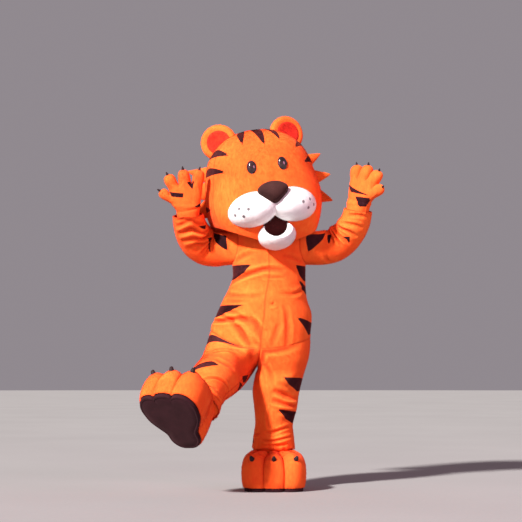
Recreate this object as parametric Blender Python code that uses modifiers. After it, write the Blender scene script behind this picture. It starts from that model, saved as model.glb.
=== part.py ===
"""A full-body plush tiger mascot costume as it is worn: jumpsuit, helmet-like head, two
mitts and two paw boots, all hollow, in a pose with one leg kicked towards the viewer.

Metres, +Z up, the costume faces -Y. The origin is between the shoulders, where the wearer
carries the suit. "left" and "right" are the wearer's own sides, so left is +X.
"""

import math

import bmesh
import bpy
import numpy as np
from mathutils import Matrix, Vector

SEAM_GAP = 0.0003
CLOTH = 0.003
HEAD_FOAM = 0.012
BOOT_FOAM = 0.006
FLOOR = -1.27

# Jumpsuit, torso: one row for each level, from the hip line up to the neck.
# dip lowers the front and back of a level, lift raises its right side over the kicked thigh.
TORSO_COLUMNS = ("z", "centre_x", "width", "front", "back", "dip", "lift")
TORSO = (
    (-0.505, -0.042, 0.256, 0.172, 0.190, 0.056, 0.040),
    (-0.465, -0.040, 0.255, 0.176, 0.188, 0.034, 0.024),
    (-0.420, -0.030, 0.250, 0.178, 0.182, 0.016, 0.010),
    (-0.370, -0.022, 0.240, 0.177, 0.172, 0.005, 0.003),
    (-0.310, -0.019, 0.217, 0.171, 0.158, 0.000, 0.000),
    (-0.250, -0.008, 0.198, 0.162, 0.148, 0.000, 0.000),
    (-0.190, 0.002, 0.187, 0.155, 0.142, 0.000, 0.000),
    (-0.128, 0.001, 0.189, 0.152, 0.142, 0.000, 0.000),
    (-0.108, 0.000, 0.190, 0.151, 0.142, 0.000, 0.000),
    (-0.076, 0.000, 0.190, 0.150, 0.141, 0.000, 0.000),
    (-0.040, 0.000, 0.188, 0.146, 0.138, 0.000, 0.000),
    (-0.004, 0.000, 0.185, 0.138, 0.132, 0.000, 0.000),
    (0.026, 0.000, 0.178, 0.124, 0.120, 0.000, 0.000),
    (0.044, 0.000, 0.165, 0.109, 0.108, 0.000, 0.000),
    (0.054, 0.000, 0.146, 0.098, 0.100, 0.000, 0.000),
    (0.068, 0.000, 0.114, 0.088, 0.093, 0.000, 0.000),
    (0.086, 0.000, 0.091, 0.081, 0.087, 0.000, 0.000),
    (0.106, 0.000, 0.086, 0.079, 0.083, 0.000, 0.000),
)
UNDERARM_ROW = 7
SHOULDER_ROW = 14
# How far the armhole's edge lies from the side line, as an angle, at each row it crosses.
ARMHOLE = (0.0, 0.34, 0.50, 0.56, 0.54, 0.46, 0.30, 0.0)
PANEL_STEPS = 5
CROTCH_DROP = 0.080
CROTCH_SHIFT = -0.016

# Legs and sleeves: a row for each section. The axis is the way the tube runs there, and
# side, front and back are half widths across it. join is the share of the first ring's
# own shape that a section keeps.
TUBE_COLUMNS = ("x", "y", "z", "axis_x", "axis_y", "axis_z", "side", "front", "back", "join")
STANDING_LEG = (
    (0.085, 0.010, -0.560, 0.0, 0.0, -1.0, 0.128, 0.160, 0.180, 1.00),
    (0.078, 0.004, -0.625, -0.05, 0.0, -1.0, 0.122, 0.150, 0.165, 0.50),
    (0.056, 0.000, -0.690, -0.08, 0.0, -1.0, 0.121, 0.137, 0.145, 0.16),
    (0.036, -0.004, -0.780, -0.08, 0.0, -1.0, 0.118, 0.124, 0.126, 0.03),
    (0.034, -0.010, -0.860, -0.06, 0.0, -1.0, 0.109, 0.116, 0.113, 0.0),
    (0.027, -0.006, -0.938, -0.04, 0.03, -1.0, 0.096, 0.103, 0.108, 0.0),
    (0.025, 0.004, -1.004, -0.02, 0.03, -1.0, 0.103, 0.107, 0.110, 0.0),
    (0.024, 0.010, -1.060, 0.0, 0.0, -1.0, 0.110, 0.110, 0.110, 0.0),
)
KICKED_LEG = (
    (-0.165, 0.000, -0.560, 0.0, -0.15, -1.0, 0.130, 0.160, 0.180, 1.00),
    (-0.206, -0.070, -0.628, -0.10, -0.50, -0.85, 0.118, 0.148, 0.156, 0.50),
    (-0.236, -0.155, -0.676, -0.20, -0.75, -0.62, 0.118, 0.130, 0.130, 0.16),
    (-0.262, -0.250, -0.708, -0.28, -0.80, -0.50, 0.118, 0.120, 0.116, 0.03),
    (-0.293, -0.335, -0.742, -0.28, -0.78, -0.54, 0.112, 0.113, 0.106, 0.0),
    (-0.316, -0.390, -0.772, -0.26, -0.74, -0.61, 0.107, 0.108, 0.102, 0.0),
    (-0.330, -0.430, -0.803, -0.28, -0.67, -0.67, 0.106, 0.107, 0.105, 0.0),
    (-0.342, -0.464, -0.836, -0.31, -0.63, -0.70, 0.110, 0.110, 0.110, 0.0),
)
RIGHT_SLEEVE = (
    (-0.176, 0.000, -0.038, -1.0, 0.10, 0.00, 0.086, 0.078, 0.078, 1.00),
    (-0.220, 0.012, -0.040, -1.0, 0.16, -0.02, 0.089, 0.081, 0.081, 0.55),
    (-0.268, 0.022, -0.040, -1.0, 0.12, 0.05, 0.094, 0.085, 0.085, 0.18),
    (-0.318, 0.020, -0.030, -0.95, -0.20, 0.33, 0.097, 0.090, 0.086, 0.0),
    (-0.360, -0.006, -0.006, -0.70, -0.50, 0.55, 0.096, 0.089, 0.083, 0.0),
    (-0.388, -0.052, 0.030, -0.40, -0.62, 0.66, 0.090, 0.084, 0.080, 0.0),
    (-0.403, -0.104, 0.072, -0.16, -0.50, 0.85, 0.083, 0.079, 0.076, 0.0),
    (-0.411, -0.142, 0.118, -0.08, -0.30, 0.95, 0.078, 0.075, 0.074, 0.0),
)
LEFT_SLEEVE = (
    (0.176, 0.000, -0.038, 1.0, 0.10, 0.00, 0.086, 0.078, 0.078, 1.00),
    (0.224, 0.012, -0.038, 1.0, 0.16, 0.00, 0.088, 0.080, 0.080, 0.55),
    (0.282, 0.024, -0.034, 1.0, 0.12, 0.08, 0.089, 0.082, 0.082, 0.18),
    (0.340, 0.030, -0.018, 0.92, -0.08, 0.36, 0.089, 0.084, 0.082, 0.0),
    (0.388, 0.016, 0.014, 0.72, -0.36, 0.60, 0.086, 0.082, 0.079, 0.0),
    (0.425, -0.016, 0.058, 0.48, -0.46, 0.76, 0.081, 0.077, 0.075, 0.0),
    (0.448, -0.050, 0.104, 0.22, -0.36, 0.90, 0.076, 0.073, 0.071, 0.0),
    (0.459, -0.074, 0.152, 0.14, -0.22, 0.96, 0.072, 0.070, 0.069, 0.0),
)
LEG_ROWS = 15
SLEEVE_ROWS = 18

# Folds: where along the tube (0 to 1) and round it (turns) the fold is, how far it reaches
# each way, its slope along the tube for one turn round, and its height.
FOLD_COLUMNS = ("along", "around", "reach_along", "reach_around", "slope", "height")
TORSO_FOLDS = (
    (0.360, 0.290, 0.040, 0.16, 0.55, 0.010),
    (0.280, 0.330, 0.036, 0.14, 0.55, -0.009),
    (0.120, 0.360, 0.045, 0.13, -0.30, -0.008),
    (0.060, 0.140, 0.045, 0.10, 0.40, 0.007),
    (0.330, 0.780, 0.040, 0.15, -0.20, -0.008),
)
STANDING_FOLDS = (
    (0.330, 0.200, 0.050, 0.13, 0.50, 0.012),
    (0.450, 0.160, 0.045, 0.12, 0.40, -0.009),
    (0.640, 0.110, 0.050, 0.10, 0.20, -0.012),
    (0.800, 0.250, 0.045, 0.18, 0.05, -0.009),
    (0.880, 0.240, 0.040, 0.18, 0.05, 0.008),
    (0.560, 0.780, 0.050, 0.15, 0.10, -0.010),
)
KICKED_FOLDS = (
    (0.170, 0.250, 0.050, 0.15, 0.15, -0.012),
    (0.300, 0.260, 0.050, 0.14, 0.15, 0.009),
    (0.600, 0.700, 0.050, 0.17, 0.10, -0.010),
    (0.730, 0.680, 0.045, 0.17, 0.10, 0.009),
    (0.800, 0.250, 0.045, 0.15, 0.05, -0.008),
)
RIGHT_SLEEVE_FOLDS = (
    (0.440, 0.330, 0.042, 0.22, 0.06, -0.010),
    (0.550, 0.340, 0.042, 0.22, 0.04, 0.008),
    (0.660, 0.330, 0.042, 0.22, 0.02, -0.011),
    (0.770, 0.340, 0.042, 0.21, 0.02, 0.008),
    (0.870, 0.320, 0.042, 0.20, 0.00, -0.009),
)
LEFT_SLEEVE_FOLDS = (
    (0.400, 0.440, 0.045, 0.19, 0.10, -0.009),
    (0.520, 0.430, 0.045, 0.18, 0.08, 0.007),
    (0.640, 0.420, 0.045, 0.19, 0.06, -0.010),
    (0.760, 0.400, 0.045, 0.18, 0.04, 0.007),
)

# Head: a rounded helmet about its own centre, turned and tilted as it is worn.
HEAD_CENTRE = Vector((-0.045, 0.0, 0.306))
HEAD_TURN = math.radians(10.0)
HEAD_TILT = math.radians(-9.0)
HEAD_WIDTH = 0.278
HEAD_DEPTH = 0.262
HEAD_UP = 0.268
HEAD_DOWN = 0.400
CHEEK_SWELL = 0.07
TOP_ROUNDNESS = 2.25
JAW_ROUNDNESS = 3.0
RIM_SIDE_Z = 0.0606
RIM_FRONT_Z = -0.034
RIM_BACK_Z = 0.050
CROWN_ANGLE = math.radians(36.0)
FACE_HALF_ANGLE = math.radians(66.0)
FACE_STEPS = 9
SIDE_STEPS = 7
HEAD_ROWS = 8

# Boots: the plan's radius from a point in front of the ankle, by the angle from the toes.
BOOT_CENTRE_Y = -0.060
BOOT_PLAN = ((0, 0.214), (22, 0.224), (40, 0.220), (62, 0.170), (90, 0.118), (120, 0.102),
             (147, 0.135), (164, 0.150), (180, 0.150))
BOOT_SPOKES = (0, 6, 11, 14, 17, 22, 31, 42, 58, 74, 90, 110, 130, 147, 164, 180)
BOOT_PROFILE_COLUMNS = ("reach", "height", "groove")
BOOT_PROFILE = ((1.00, 0.00, 0.8), (1.05, 0.16, 1.0), (1.07, 0.40, 1.0), (1.05, 0.63, 1.0),
                (0.96, 0.82, 0.9), (0.74, 0.94, 0.7), (0.40, 0.99, 0.4), (0.00, 1.00, 0.0))
BOOT_HEIGHT = 0.184
TOE_GROOVE = 0.022
TOE_GROOVE_ANGLE = math.radians(14.0)
ANKLE_RADIUS = 0.095
COLLAR = ((0.214, 0.10472), (0.232, 0.100))
SOLE_THICKNESS = 0.018
STANDING_BOOT = Matrix.Translation((0.024, 0.010, FLOOR))
KICK_SOLE_WAY = Vector((-0.31, -0.63, -0.70))
KICK_TOE_WAY = Vector((-0.36, -0.60, 0.70))
KICKED_ANKLE = Vector((-0.342, -0.464, -0.836))
HEM_HEIGHT = 0.210

# Mitts, in a frame with the wrist at its origin, the fingers up and the back of the hand
# to the front. A row for each ring of the cage.
MITT_COLUMNS = ("height", "half_width", "half_thickness", "set_back")
MITT_RINGS = ((-0.038, 0.056, 0.053, 0.0), (0.012, 0.057, 0.052, 0.0),
              (0.068, 0.072, 0.048, 0.010), (0.116, 0.085, 0.042, 0.020),
              (0.146, 0.089, 0.038, 0.026))
FINGER_HALF = 0.033
FINGER_LEAN = (-20.0, -3.0, 14.0)
FINGER_LENGTH = (0.072, 0.088, 0.080)
THUMB_LENGTH = 0.070
THUMB_LEAN = 50.0
CLAW_LENGTH = 0.024
CLAW_RADIUS = 0.0075
RIGHT_WRIST = (Vector((-0.4092, -0.1457, 0.1147)), Vector((-0.08, -0.30, 0.95)), 6.0)
LEFT_WRIST = (Vector((0.4554, -0.0783, 0.1502)), Vector((0.10, -0.22, 0.96)), -50.0)

ORANGE = (0.90, 0.27, 0.04)
DEEP_ORANGE = (0.80, 0.12, 0.03)
WHITE = (0.93, 0.91, 0.90)
DARK = (0.05, 0.02, 0.025)


def remove_objects():
    for old in list(bpy.data.objects):
        bpy.data.objects.remove(old)


def make_collection(name, hidden=False):
    made = bpy.data.collections.new(name)
    made.hide_render = hidden
    bpy.context.scene.collection.children.link(made)
    return made


def plain_material(name, colour, roughness, metallic=0.0):
    made = bpy.data.materials.new(name)
    made.use_nodes = True
    shader = made.node_tree.nodes["Principled BSDF"]
    shader.inputs["Base Color"].default_value = (*colour, 1.0)
    shader.inputs["Roughness"].default_value = roughness
    shader.inputs["Metallic"].default_value = metallic
    return made


def unit(vectors):
    return vectors / np.maximum(np.linalg.norm(vectors, axis=-1, keepdims=True), 1e-12)


def smooth(t):
    t = np.clip(t, 0.0, 1.0)
    return t * t * (3.0 - 2.0 * t)


def spline(table, share):
    """The table's columns at a share of its length, on a smooth curve through its rows."""
    rows = np.array(table, float)
    place = share * (len(rows) - 1)
    first = min(int(place), len(rows) - 2)
    t = place - first
    before, here = rows[max(first - 1, 0)], rows[first]
    there, after = rows[first + 1], rows[min(first + 2, len(rows) - 1)]
    out_slope = (there - before) / 2
    in_slope = (after - here) / 2
    return (here * (2 * t**3 - 3 * t**2 + 1) + out_slope * (t**3 - 2 * t**2 + t)
            + there * (3 * t**2 - 2 * t**3) + in_slope * (t**3 - t**2))


def fold_height(folds, along, around):
    """How far the folds lift or sink the cloth at a place on the tube."""
    total = 0.0
    for row in folds:
        fold = dict(zip(FOLD_COLUMNS, row))
        turn = (around - fold["around"] + 0.5) % 1.0 - 0.5
        off = along - fold["along"] - fold["slope"] * turn
        fade = max(0.0, 1.0 - (turn / fold["reach_around"]) ** 2) ** 2
        total += fold["height"] * fade * math.exp(-((off / fold["reach_along"]) ** 2))
    return total


def grid_normals(grid):
    """Outward normals of a grid of points, from its own faces."""
    down = np.gradient(grid, axis=0)
    along = np.gradient(grid, axis=1)
    return unit(np.cross(down, along))


class SharedNormals:
    """One normal for each place, however many panels meet there, so that walls stay parallel."""

    def __init__(self):
        self.sums = {}
        self.fixed = {}

    @staticmethod
    def key(point):
        return tuple(np.round(point, 6))

    def add(self, grid, normals):
        for point, normal in zip(grid.reshape(-1, 3), normals.reshape(-1, 3)):
            self.sums[self.key(point)] = self.sums.get(self.key(point), 0.0) + normal

    def fix(self, points, normals):
        for point, normal in zip(points, normals):
            self.fixed[self.key(point)] = normal

    def of(self, grid):
        keys = [self.key(point) for point in grid.reshape(-1, 3)]
        found = [self.fixed.get(key, self.sums[key]) for key in keys]
        return unit(np.array(found)).reshape(grid.shape)


def pull_in_edges(grid):
    """Moves a panel's four edges half a seam's gap towards its middle."""
    moved = grid.copy()
    half = SEAM_GAP / 2
    moved[0] += half * unit(grid[1] - grid[0])
    moved[-1] += half * unit(grid[-2] - grid[-1])
    moved[:, 0] += half * unit(grid[:, 1] - grid[:, 0])
    moved[:, -1] += half * unit(grid[:, -2] - grid[:, -1])
    return moved


def object_from(name, bm, material, collection, matrix=None):
    bmesh.ops.recalc_face_normals(bm, faces=bm.faces)
    mesh = bpy.data.meshes.new(name)
    bm.to_mesh(mesh)
    bm.free()
    mesh.shade_smooth()
    mesh.set_sharp_from_angle(angle=math.radians(50))
    made = bpy.data.objects.new(name, mesh)
    if material:
        mesh.materials.append(material)
    if matrix is not None:
        made.matrix_world = matrix
    collection.objects.link(made)
    return made


def wall_panel(name, shape, normals, thickness, material, collection, matrix=None, nudge=0.0):
    """A panel of cloth or foam: a grid of outer points and the same grid moved inwards."""
    outer = pull_in_edges(shape) + nudge
    inner = outer - thickness * normals
    bm = bmesh.new()
    sides = [[[bm.verts.new(p) for p in row] for row in grid] for grid in (outer, inner)]
    rows, columns = outer.shape[:2]
    for face, flip in zip(sides, (False, True)):
        for i in range(rows - 1):
            for j in range(columns - 1):
                a, b, c, d = face[i][j], face[i][j + 1], face[i + 1][j + 1], face[i + 1][j]
                for corners in ((a, b, c), (a, c, d)):
                    bm.faces.new(corners[::-1] if flip else corners)
    rim = [(0, j) for j in range(columns)] + [(i, columns - 1) for i in range(1, rows)]
    rim += [(rows - 1, j) for j in range(columns - 2, -1, -1)]
    rim += [(i, 0) for i in range(rows - 2, 0, -1)]
    for (i, j), (k, m) in zip(rim, rim[1:] + rim[:1]):
        a, b, c, d = sides[0][i][j], sides[1][i][j], sides[1][k][m], sides[0][k][m]
        # Neighbours cut their facing edges along the same diagonal, so that they stay parallel.
        if SharedNormals.key(shape[i, j]) < SharedNormals.key(shape[k, m]):
            corners = ((a, b, c), (a, c, d))
        else:
            corners = ((b, c, d), (b, d, a))
        for corner in corners:
            bm.faces.new(corner)
    return object_from(name, bm, material, collection, matrix)


# Jumpsuit.


def torso_point(row, angle):
    """A point of the torso: angle 0 is the wearer's left side, a quarter turn is the front."""
    level = dict(zip(TORSO_COLUMNS, TORSO[row]))
    along = row / (len(TORSO) - 1)
    depth = level["front"] if math.sin(angle) > 0 else level["back"]
    swell = 1.0 + fold_height(TORSO_FOLDS, along, angle / math.tau) / level["width"]
    x = level["centre_x"] + swell * level["width"] * math.cos(angle)
    y = -swell * depth * math.sin(angle)
    z = level["z"] - level["dip"] * math.sin(angle) ** 2
    z += level["lift"] * max(0.0, -math.cos(angle)) ** 2
    return np.array((x, y, z))


def torso_quarter(side, front):
    """One of the four torso panels, from the side seam or armhole to the centre seam."""
    centre = math.pi / 2 if front else 3 * math.pi / 2
    base = {(1, True): 0.0, (1, False): math.tau}.get((side, front), math.pi)
    grid = []
    for row in range(len(TORSO)):
        inside = UNDERARM_ROW <= row <= SHOULDER_ROW
        cut = ARMHOLE[row - UNDERARM_ROW] if inside else 0.0
        edge = base + math.copysign(cut, centre - base)
        shares = np.linspace(0.0, 1.0, PANEL_STEPS + 1)
        grid.append([torso_point(row, edge + (centre - edge) * s) for s in shares])
    return np.array(grid)


def tube_frame(section, side_way, ref):
    """A section's centre and its three axes: out to the side, to the front, and along."""
    along = unit(section[3:6])
    front = unit(ref - np.dot(ref, along) * along)
    side = np.cross(front, along)
    if np.dot(side, side_way) < 0:
        side = -side
    return section[:3], np.array((side, front, along))


def tube(table, folds, first_ring, rows, side_way, ref):
    """The rings of a leg or sleeve. first_ring starts at the side and goes by the front."""
    count = len(first_ring)
    centre, axes = tube_frame(spline(table, 0.0), side_way, ref)
    local = (first_ring - centre) @ axes.T
    rings = [first_ring]
    for i in range(1, rows + 1):
        share = i / rows
        section = spline(table, share)
        centre, axes = tube_frame(section, side_way, ref)
        half_side, half_front, half_back, join = section[6:]
        join = max(join, 0.0)
        ring = []
        for j in range(count):
            turn = math.tau * j / count
            depth = half_front if math.sin(turn) > 0 else half_back
            swell = 1.0 + fold_height(folds, share, j / count) / half_side
            free = np.array((swell * half_side * math.cos(turn),
                             swell * depth * math.sin(turn), 0.0))
            ring.append(centre + (free * (1 - join) + local[j] * join) @ axes)
        rings.append(np.array(ring))
    return np.array(rings)


def leg_first_ring(side):
    """Side seam, round the front of the hip line, under the crotch, and back to the side."""
    start = 0.0 if side > 0 else math.pi
    to_front = np.linspace(start, math.pi / 2, PANEL_STEPS + 1)
    back_end = math.tau if side > 0 else math.pi
    to_side = np.linspace(3 * math.pi / 2, back_end, PANEL_STEPS + 1)
    front, back = torso_point(0, math.pi / 2), torso_point(0, 3 * math.pi / 2)
    under = []
    for turn in np.linspace(0.0, math.pi, 2 * PANEL_STEPS + 1)[1:-1]:
        share = (1 - math.cos(turn)) / 2
        reach = math.sin(turn) ** 0.8
        sag = np.array((CROTCH_SHIFT * reach, 0.0, -CROTCH_DROP * reach))
        under.append(front + (back - front) * share + sag)
    ring = [torso_point(0, a) for a in to_front] + under
    ring += [torso_point(0, a) for a in to_side[:-1]]
    return np.array(ring)


def armhole_ring(side):
    """The armhole from the underarm, up its front edge to the shoulder, and down the back."""
    base = 0.0 if side > 0 else math.pi
    way = 1.0 if side > 0 else -1.0
    rows = range(UNDERARM_ROW, SHOULDER_ROW + 1)
    front = [torso_point(r, base + way * ARMHOLE[r - UNDERARM_ROW]) for r in rows]
    back = [torso_point(r, base - way * ARMHOLE[r - UNDERARM_ROW]) for r in rows]
    return np.array(front + back[-2:0:-1])


def closed_normals(rings):
    """Outward normals of a tube's rings, which close on themselves."""
    wrapped = np.concatenate([rings[:, -1:], rings, rings[:, :1]], axis=1)
    normals = grid_normals(wrapped)[:, 1:-1]
    out = rings - rings.mean(axis=1, keepdims=True)
    if (normals * out).sum() < 0:
        normals = -normals
    return normals


def outward(grid, normals, centre):
    return -normals if (normals * (grid - centre)).sum() < 0 else normals


def build_jumpsuit(plush, collection):
    shared = SharedNormals()
    panels = {}
    middle = np.array((0.0, 0.0, -0.25))
    for side, side_name in ((1, "left"), (-1, "right")):
        for front in (True, False):
            grid = torso_quarter(side, front)
            shared.add(grid, outward(grid, grid_normals(grid), middle))
            panels[f"torso_{'front' if front else 'back'}_{side_name}"] = grid
    legs = {"left": (1, STANDING_LEG, STANDING_FOLDS), "right": (-1, KICKED_LEG, KICKED_FOLDS)}
    nudges = {}
    crotch = slice(PANEL_STEPS, 3 * PANEL_STEPS + 1)
    for side_name, (side, table, folds) in legs.items():
        ref = np.array((0.0, -1.0, 0.0 if side > 0 else 0.9))
        rings = tube(table, folds, leg_first_ring(side), LEG_ROWS, (side, 0, 0), ref)
        shared.add(rings, closed_normals(rings))
        under = rings[0, crotch]
        shared.fix(under[1:-1], crotch_normals(under)[1:-1])
        apart = np.zeros((LEG_ROWS + 1, rings.shape[1] + 1, 3))
        apart[0, crotch, 0] = side * SEAM_GAP / 2
        half = rings.shape[1] // 2
        closed = np.concatenate([rings, rings[:, :1]], axis=1)
        panels[f"leg_front_{side_name}"] = closed[:, : half + 1]
        panels[f"leg_back_{side_name}"] = closed[:, half:]
        nudges[f"leg_front_{side_name}"] = apart[:, : half + 1]
        nudges[f"leg_back_{side_name}"] = apart[:, half:]
    sleeves = {"left": (1, LEFT_SLEEVE, LEFT_SLEEVE_FOLDS),
               "right": (-1, RIGHT_SLEEVE, RIGHT_SLEEVE_FOLDS)}
    for side_name, (side, table, folds) in sleeves.items():
        under = np.array((0.9 * side, 0.0, -1.0))
        rings = sleeve_tube(table, folds, armhole_ring(side), side, under)
        shared.add(rings, closed_normals(rings))
        half = rings.shape[1] // 2
        closed = np.concatenate([rings, rings[:, :1]], axis=1)
        panels[f"sleeve_front_{side_name}"] = closed[:, : half + 1]
        panels[f"sleeve_back_{side_name}"] = closed[:, half:]
    for name, grid in panels.items():
        wall_panel(name, grid, shared.of(grid), CLOTH, plush, collection,
                   nudge=nudges.get(name, 0.0))


def crotch_normals(under):
    """The crotch seam faces down and out of the arch that it makes between the legs."""
    tangents = np.gradient(under, axis=0)
    down = unit(np.cross(tangents, (1.0, 0.0, 0.0)))
    return np.where(down[:, 2:] > 0, -down, down)


def sleeve_tube(table, folds, first_ring, side, under):
    """A sleeve's rings start under the arm, so its frame's side axis points down there."""
    rings = tube(table, folds, first_ring, SLEEVE_ROWS, (0.5 * side, 0, -1), side_ref(under))
    return rings


def side_ref(under):
    """The front direction that goes with an underarm direction."""
    return np.array((0.0, -1.0, 0.0)) + 0.15 * under


# Head.


def head_matrix():
    turned = Matrix.Rotation(HEAD_TURN, 4, "Z") @ Matrix.Rotation(HEAD_TILT, 4, "Y")
    return Matrix.Translation(HEAD_CENTRE) @ turned


def head_radius(way):
    """The helmet's outer radius along a unit direction in its own frame."""
    x, y, z = way
    lower = smooth((0.15 - z) / 0.6)
    power = TOP_ROUNDNESS + (JAW_ROUNDNESS - TOP_ROUNDNESS) * lower
    width = HEAD_WIDTH * (1.0 + CHEEK_SWELL * math.exp(-(((z + 0.35) / 0.35) ** 2)))
    up = HEAD_UP if z > 0 else HEAD_DOWN
    total = abs(x / width) ** power + abs(y / HEAD_DEPTH) ** power + abs(z / up) ** power
    return total ** (-1.0 / power)


def head_point(turn, polar):
    """turn 0 is the face and grows to the wearer's left; polar is measured from the crown."""
    way = np.array((math.sin(polar) * math.sin(turn), -math.sin(polar) * math.cos(turn),
                    math.cos(polar)))
    return head_radius(way) * way


def rim_polar(turn):
    """Where the helmet's lower edge lies, so that it clears the shoulders."""
    side = math.sin(turn) ** 2
    end = RIM_FRONT_Z if math.cos(turn) > 0 else RIM_BACK_Z
    level = end + (RIM_SIDE_Z - end) * side
    low, high = math.radians(60.0), math.radians(172.0)
    for _ in range(40):
        middle = (low + high) / 2
        z = (head_matrix() @ Vector(head_point(turn, middle))).z
        low, high = (middle, high) if z > level else (low, middle)
    return low


def head_turns():
    face = np.linspace(-FACE_HALF_ANGLE, FACE_HALF_ANGLE, FACE_STEPS + 1)
    back = np.linspace(FACE_HALF_ANGLE, math.tau - FACE_HALF_ANGLE, 2 * SIDE_STEPS + 1)
    return np.concatenate([face[:-1], back[:-1]])


def head_rings():
    """Rings of the helmet from the lower edge up to the edge of the crown."""
    shares = np.linspace(0.0, 1.0, HEAD_ROWS + 1)
    rings = []
    for share in shares:
        ring = []
        for turn in head_turns():
            rim = rim_polar(turn)
            ring.append(head_point(turn, rim + (CROWN_ANGLE - rim) * share))
        rings.append(ring)
    return np.array(rings)


def crown_discs(rings):
    """The crown's rings, from the helmet's last ring in to its top point."""
    middle_ring = np.array([head_point(turn, CROWN_ANGLE / 2) for turn in head_turns()])
    return [rings[-1], middle_ring], head_point(0.0, 0.0)


def disc_faces(bm, rings, top, flip):
    made = [[bm.verts.new(p) for p in ring] for ring in rings]
    point = bm.verts.new(top)
    count = len(made[0])
    for j in range(count):
        k = (j + 1) % count
        for low, high in zip(made, made[1:]):
            for corners in ((low[j], low[k], high[k]), (low[j], high[k], high[j])):
                bm.faces.new(corners[::-1] if flip else corners)
        corners = (made[-1][j], made[-1][k], point)
        bm.faces.new(corners[::-1] if flip else corners)
    return made[0]


def fan_cap(bm, ring):
    """Closes a ring of vertices with a fan of triangles round its middle."""
    middle = bm.verts.new(sum((v.co for v in ring), Vector()) / len(ring))
    for a, b in zip(ring, ring[1:] + ring[:1]):
        bm.faces.new((b, a, middle))


def build_crown(rings, normals, plush, collection, matrix):
    discs, top = crown_discs(rings)
    edge = discs[0] + SEAM_GAP / 2 * unit(discs[1] - discs[0])
    ways = [normals[-1], unit(discs[1])]
    outer = [edge, discs[1]]
    inner = [ring - HEAD_FOAM * way for ring, way in zip(outer, ways)]
    bm = bmesh.new()
    outside = disc_faces(bm, outer, top, False)
    inside = disc_faces(bm, inner, top - np.array((0.0, 0.0, HEAD_FOAM)), True)
    for j, vertex in enumerate(outside):
        k = (j + 1) % len(outside)
        bm.faces.new((vertex, inside[j], inside[k], outside[k]))
    return object_from("head_crown", bm, plush, collection, matrix)


def head_cutter(rings, normals, cutters, matrix):
    """The helmet's closed outside, a seam's gap larger, to cut what sits on it."""
    discs, top = crown_discs(rings)
    grown = [ring + SEAM_GAP * way for ring, way in zip(rings, normals)]
    grown.insert(0, grown[0] - np.array((0.0, 0.0, 0.12)))
    grown.append(discs[1] + SEAM_GAP * unit(discs[1]))
    bm = bmesh.new()
    bottom = disc_faces(bm, grown, top + np.array((0.0, 0.0, SEAM_GAP)), False)
    fan_cap(bm, bottom)
    cutter = object_from("head_cutter", bm, None, cutters, matrix)
    cutter.display_type = "WIRE"
    cutter.hide_render = True
    return cutter


def use_boolean(target, cutter, operation="DIFFERENCE"):
    boolean = target.modifiers.new(operation.title() + "_" + cutter.name, "BOOLEAN")
    boolean.operation = operation
    boolean.object = cutter
    boolean.solver = "EXACT"


def apply_modifiers(target):
    """Replaces an object's mesh by the one its modifiers make."""
    bpy.context.view_layer.update()
    graph = bpy.context.evaluated_depsgraph_get()
    made = bpy.data.meshes.new_from_object(target.evaluated_get(graph))
    target.modifiers.clear()
    target.data = made


def grown_copy(source, cutters, amount):
    """A copy moved outwards all over, used to cut a neighbour clear of it."""
    bm = bmesh.new()
    bm.from_mesh(source.data)
    bmesh.ops.triangulate(bm, faces=bm.faces)
    bm.normal_update()
    for vertex in bm.verts:
        vertex.co += amount * vertex.normal
    cutter = object_from(source.name + "_grown", bm, None, cutters, source.matrix_world.copy())
    cutter.display_type = "WIRE"
    cutter.hide_render = True
    return cutter


def ellipsoid(name, centre, radii, material, collection, matrix, segments=20, rings=12,
              rotation=None):
    bm = bmesh.new()
    bmesh.ops.create_uvsphere(bm, u_segments=segments, v_segments=rings, radius=1.0)
    shape = Matrix.Translation(centre) @ (rotation or Matrix()) @ Matrix.Diagonal((*radii, 1.0))
    bm.transform(shape)
    return object_from(name, bm, material, collection, matrix)


MUZZLE_PAD = {"centre": (0.104, -0.228, -0.158), "radii": (0.132, 0.098, 0.088),
              "turn": 30.0, "lean": 6.0}
JAW = {"centre": (0.0, -0.222, -0.306), "radii": (0.096, 0.118, 0.080)}
MOUTH = {"centre": (0.0, -0.300, -0.256), "radii": (0.064, 0.130, 0.050)}
NOSE = {"centre": (0.0, -0.306, -0.092), "radii": (0.086, 0.054, 0.057)}
EYE = {"centre": (0.078, -0.246, 0.050), "radii": (0.027, 0.020, 0.037)}
EAR = {"centre": (0.180, 0.012, 0.232), "radius": 0.093, "half_thickness": 0.029,
       "dish": 0.017, "lean": 38.0, "turn": 14.0}
TUFT_COLUMNS = ("turn", "height", "length", "half_width", "droop")
TUFTS = ((101.0, 0.082, 0.096, 0.044, 14.0), (102.0, -0.006, 0.114, 0.050, -2.0),
         (101.0, -0.094, 0.100, 0.048, -18.0))


def mouth_space(name, slack, cutters, matrix):
    """The mouth's opening as a body, smaller all round by the slack."""
    half_width, _, half_height = MOUTH["radii"]
    radii = (half_width - slack, 0.16 - slack, half_height - slack)
    made = ellipsoid(name, (0.0, -0.26, MOUTH["centre"][2]), radii, None, cutters, matrix,
                     segments=16, rings=10)
    made.hide_render = True
    made.display_type = "WIRE"
    return made


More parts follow.
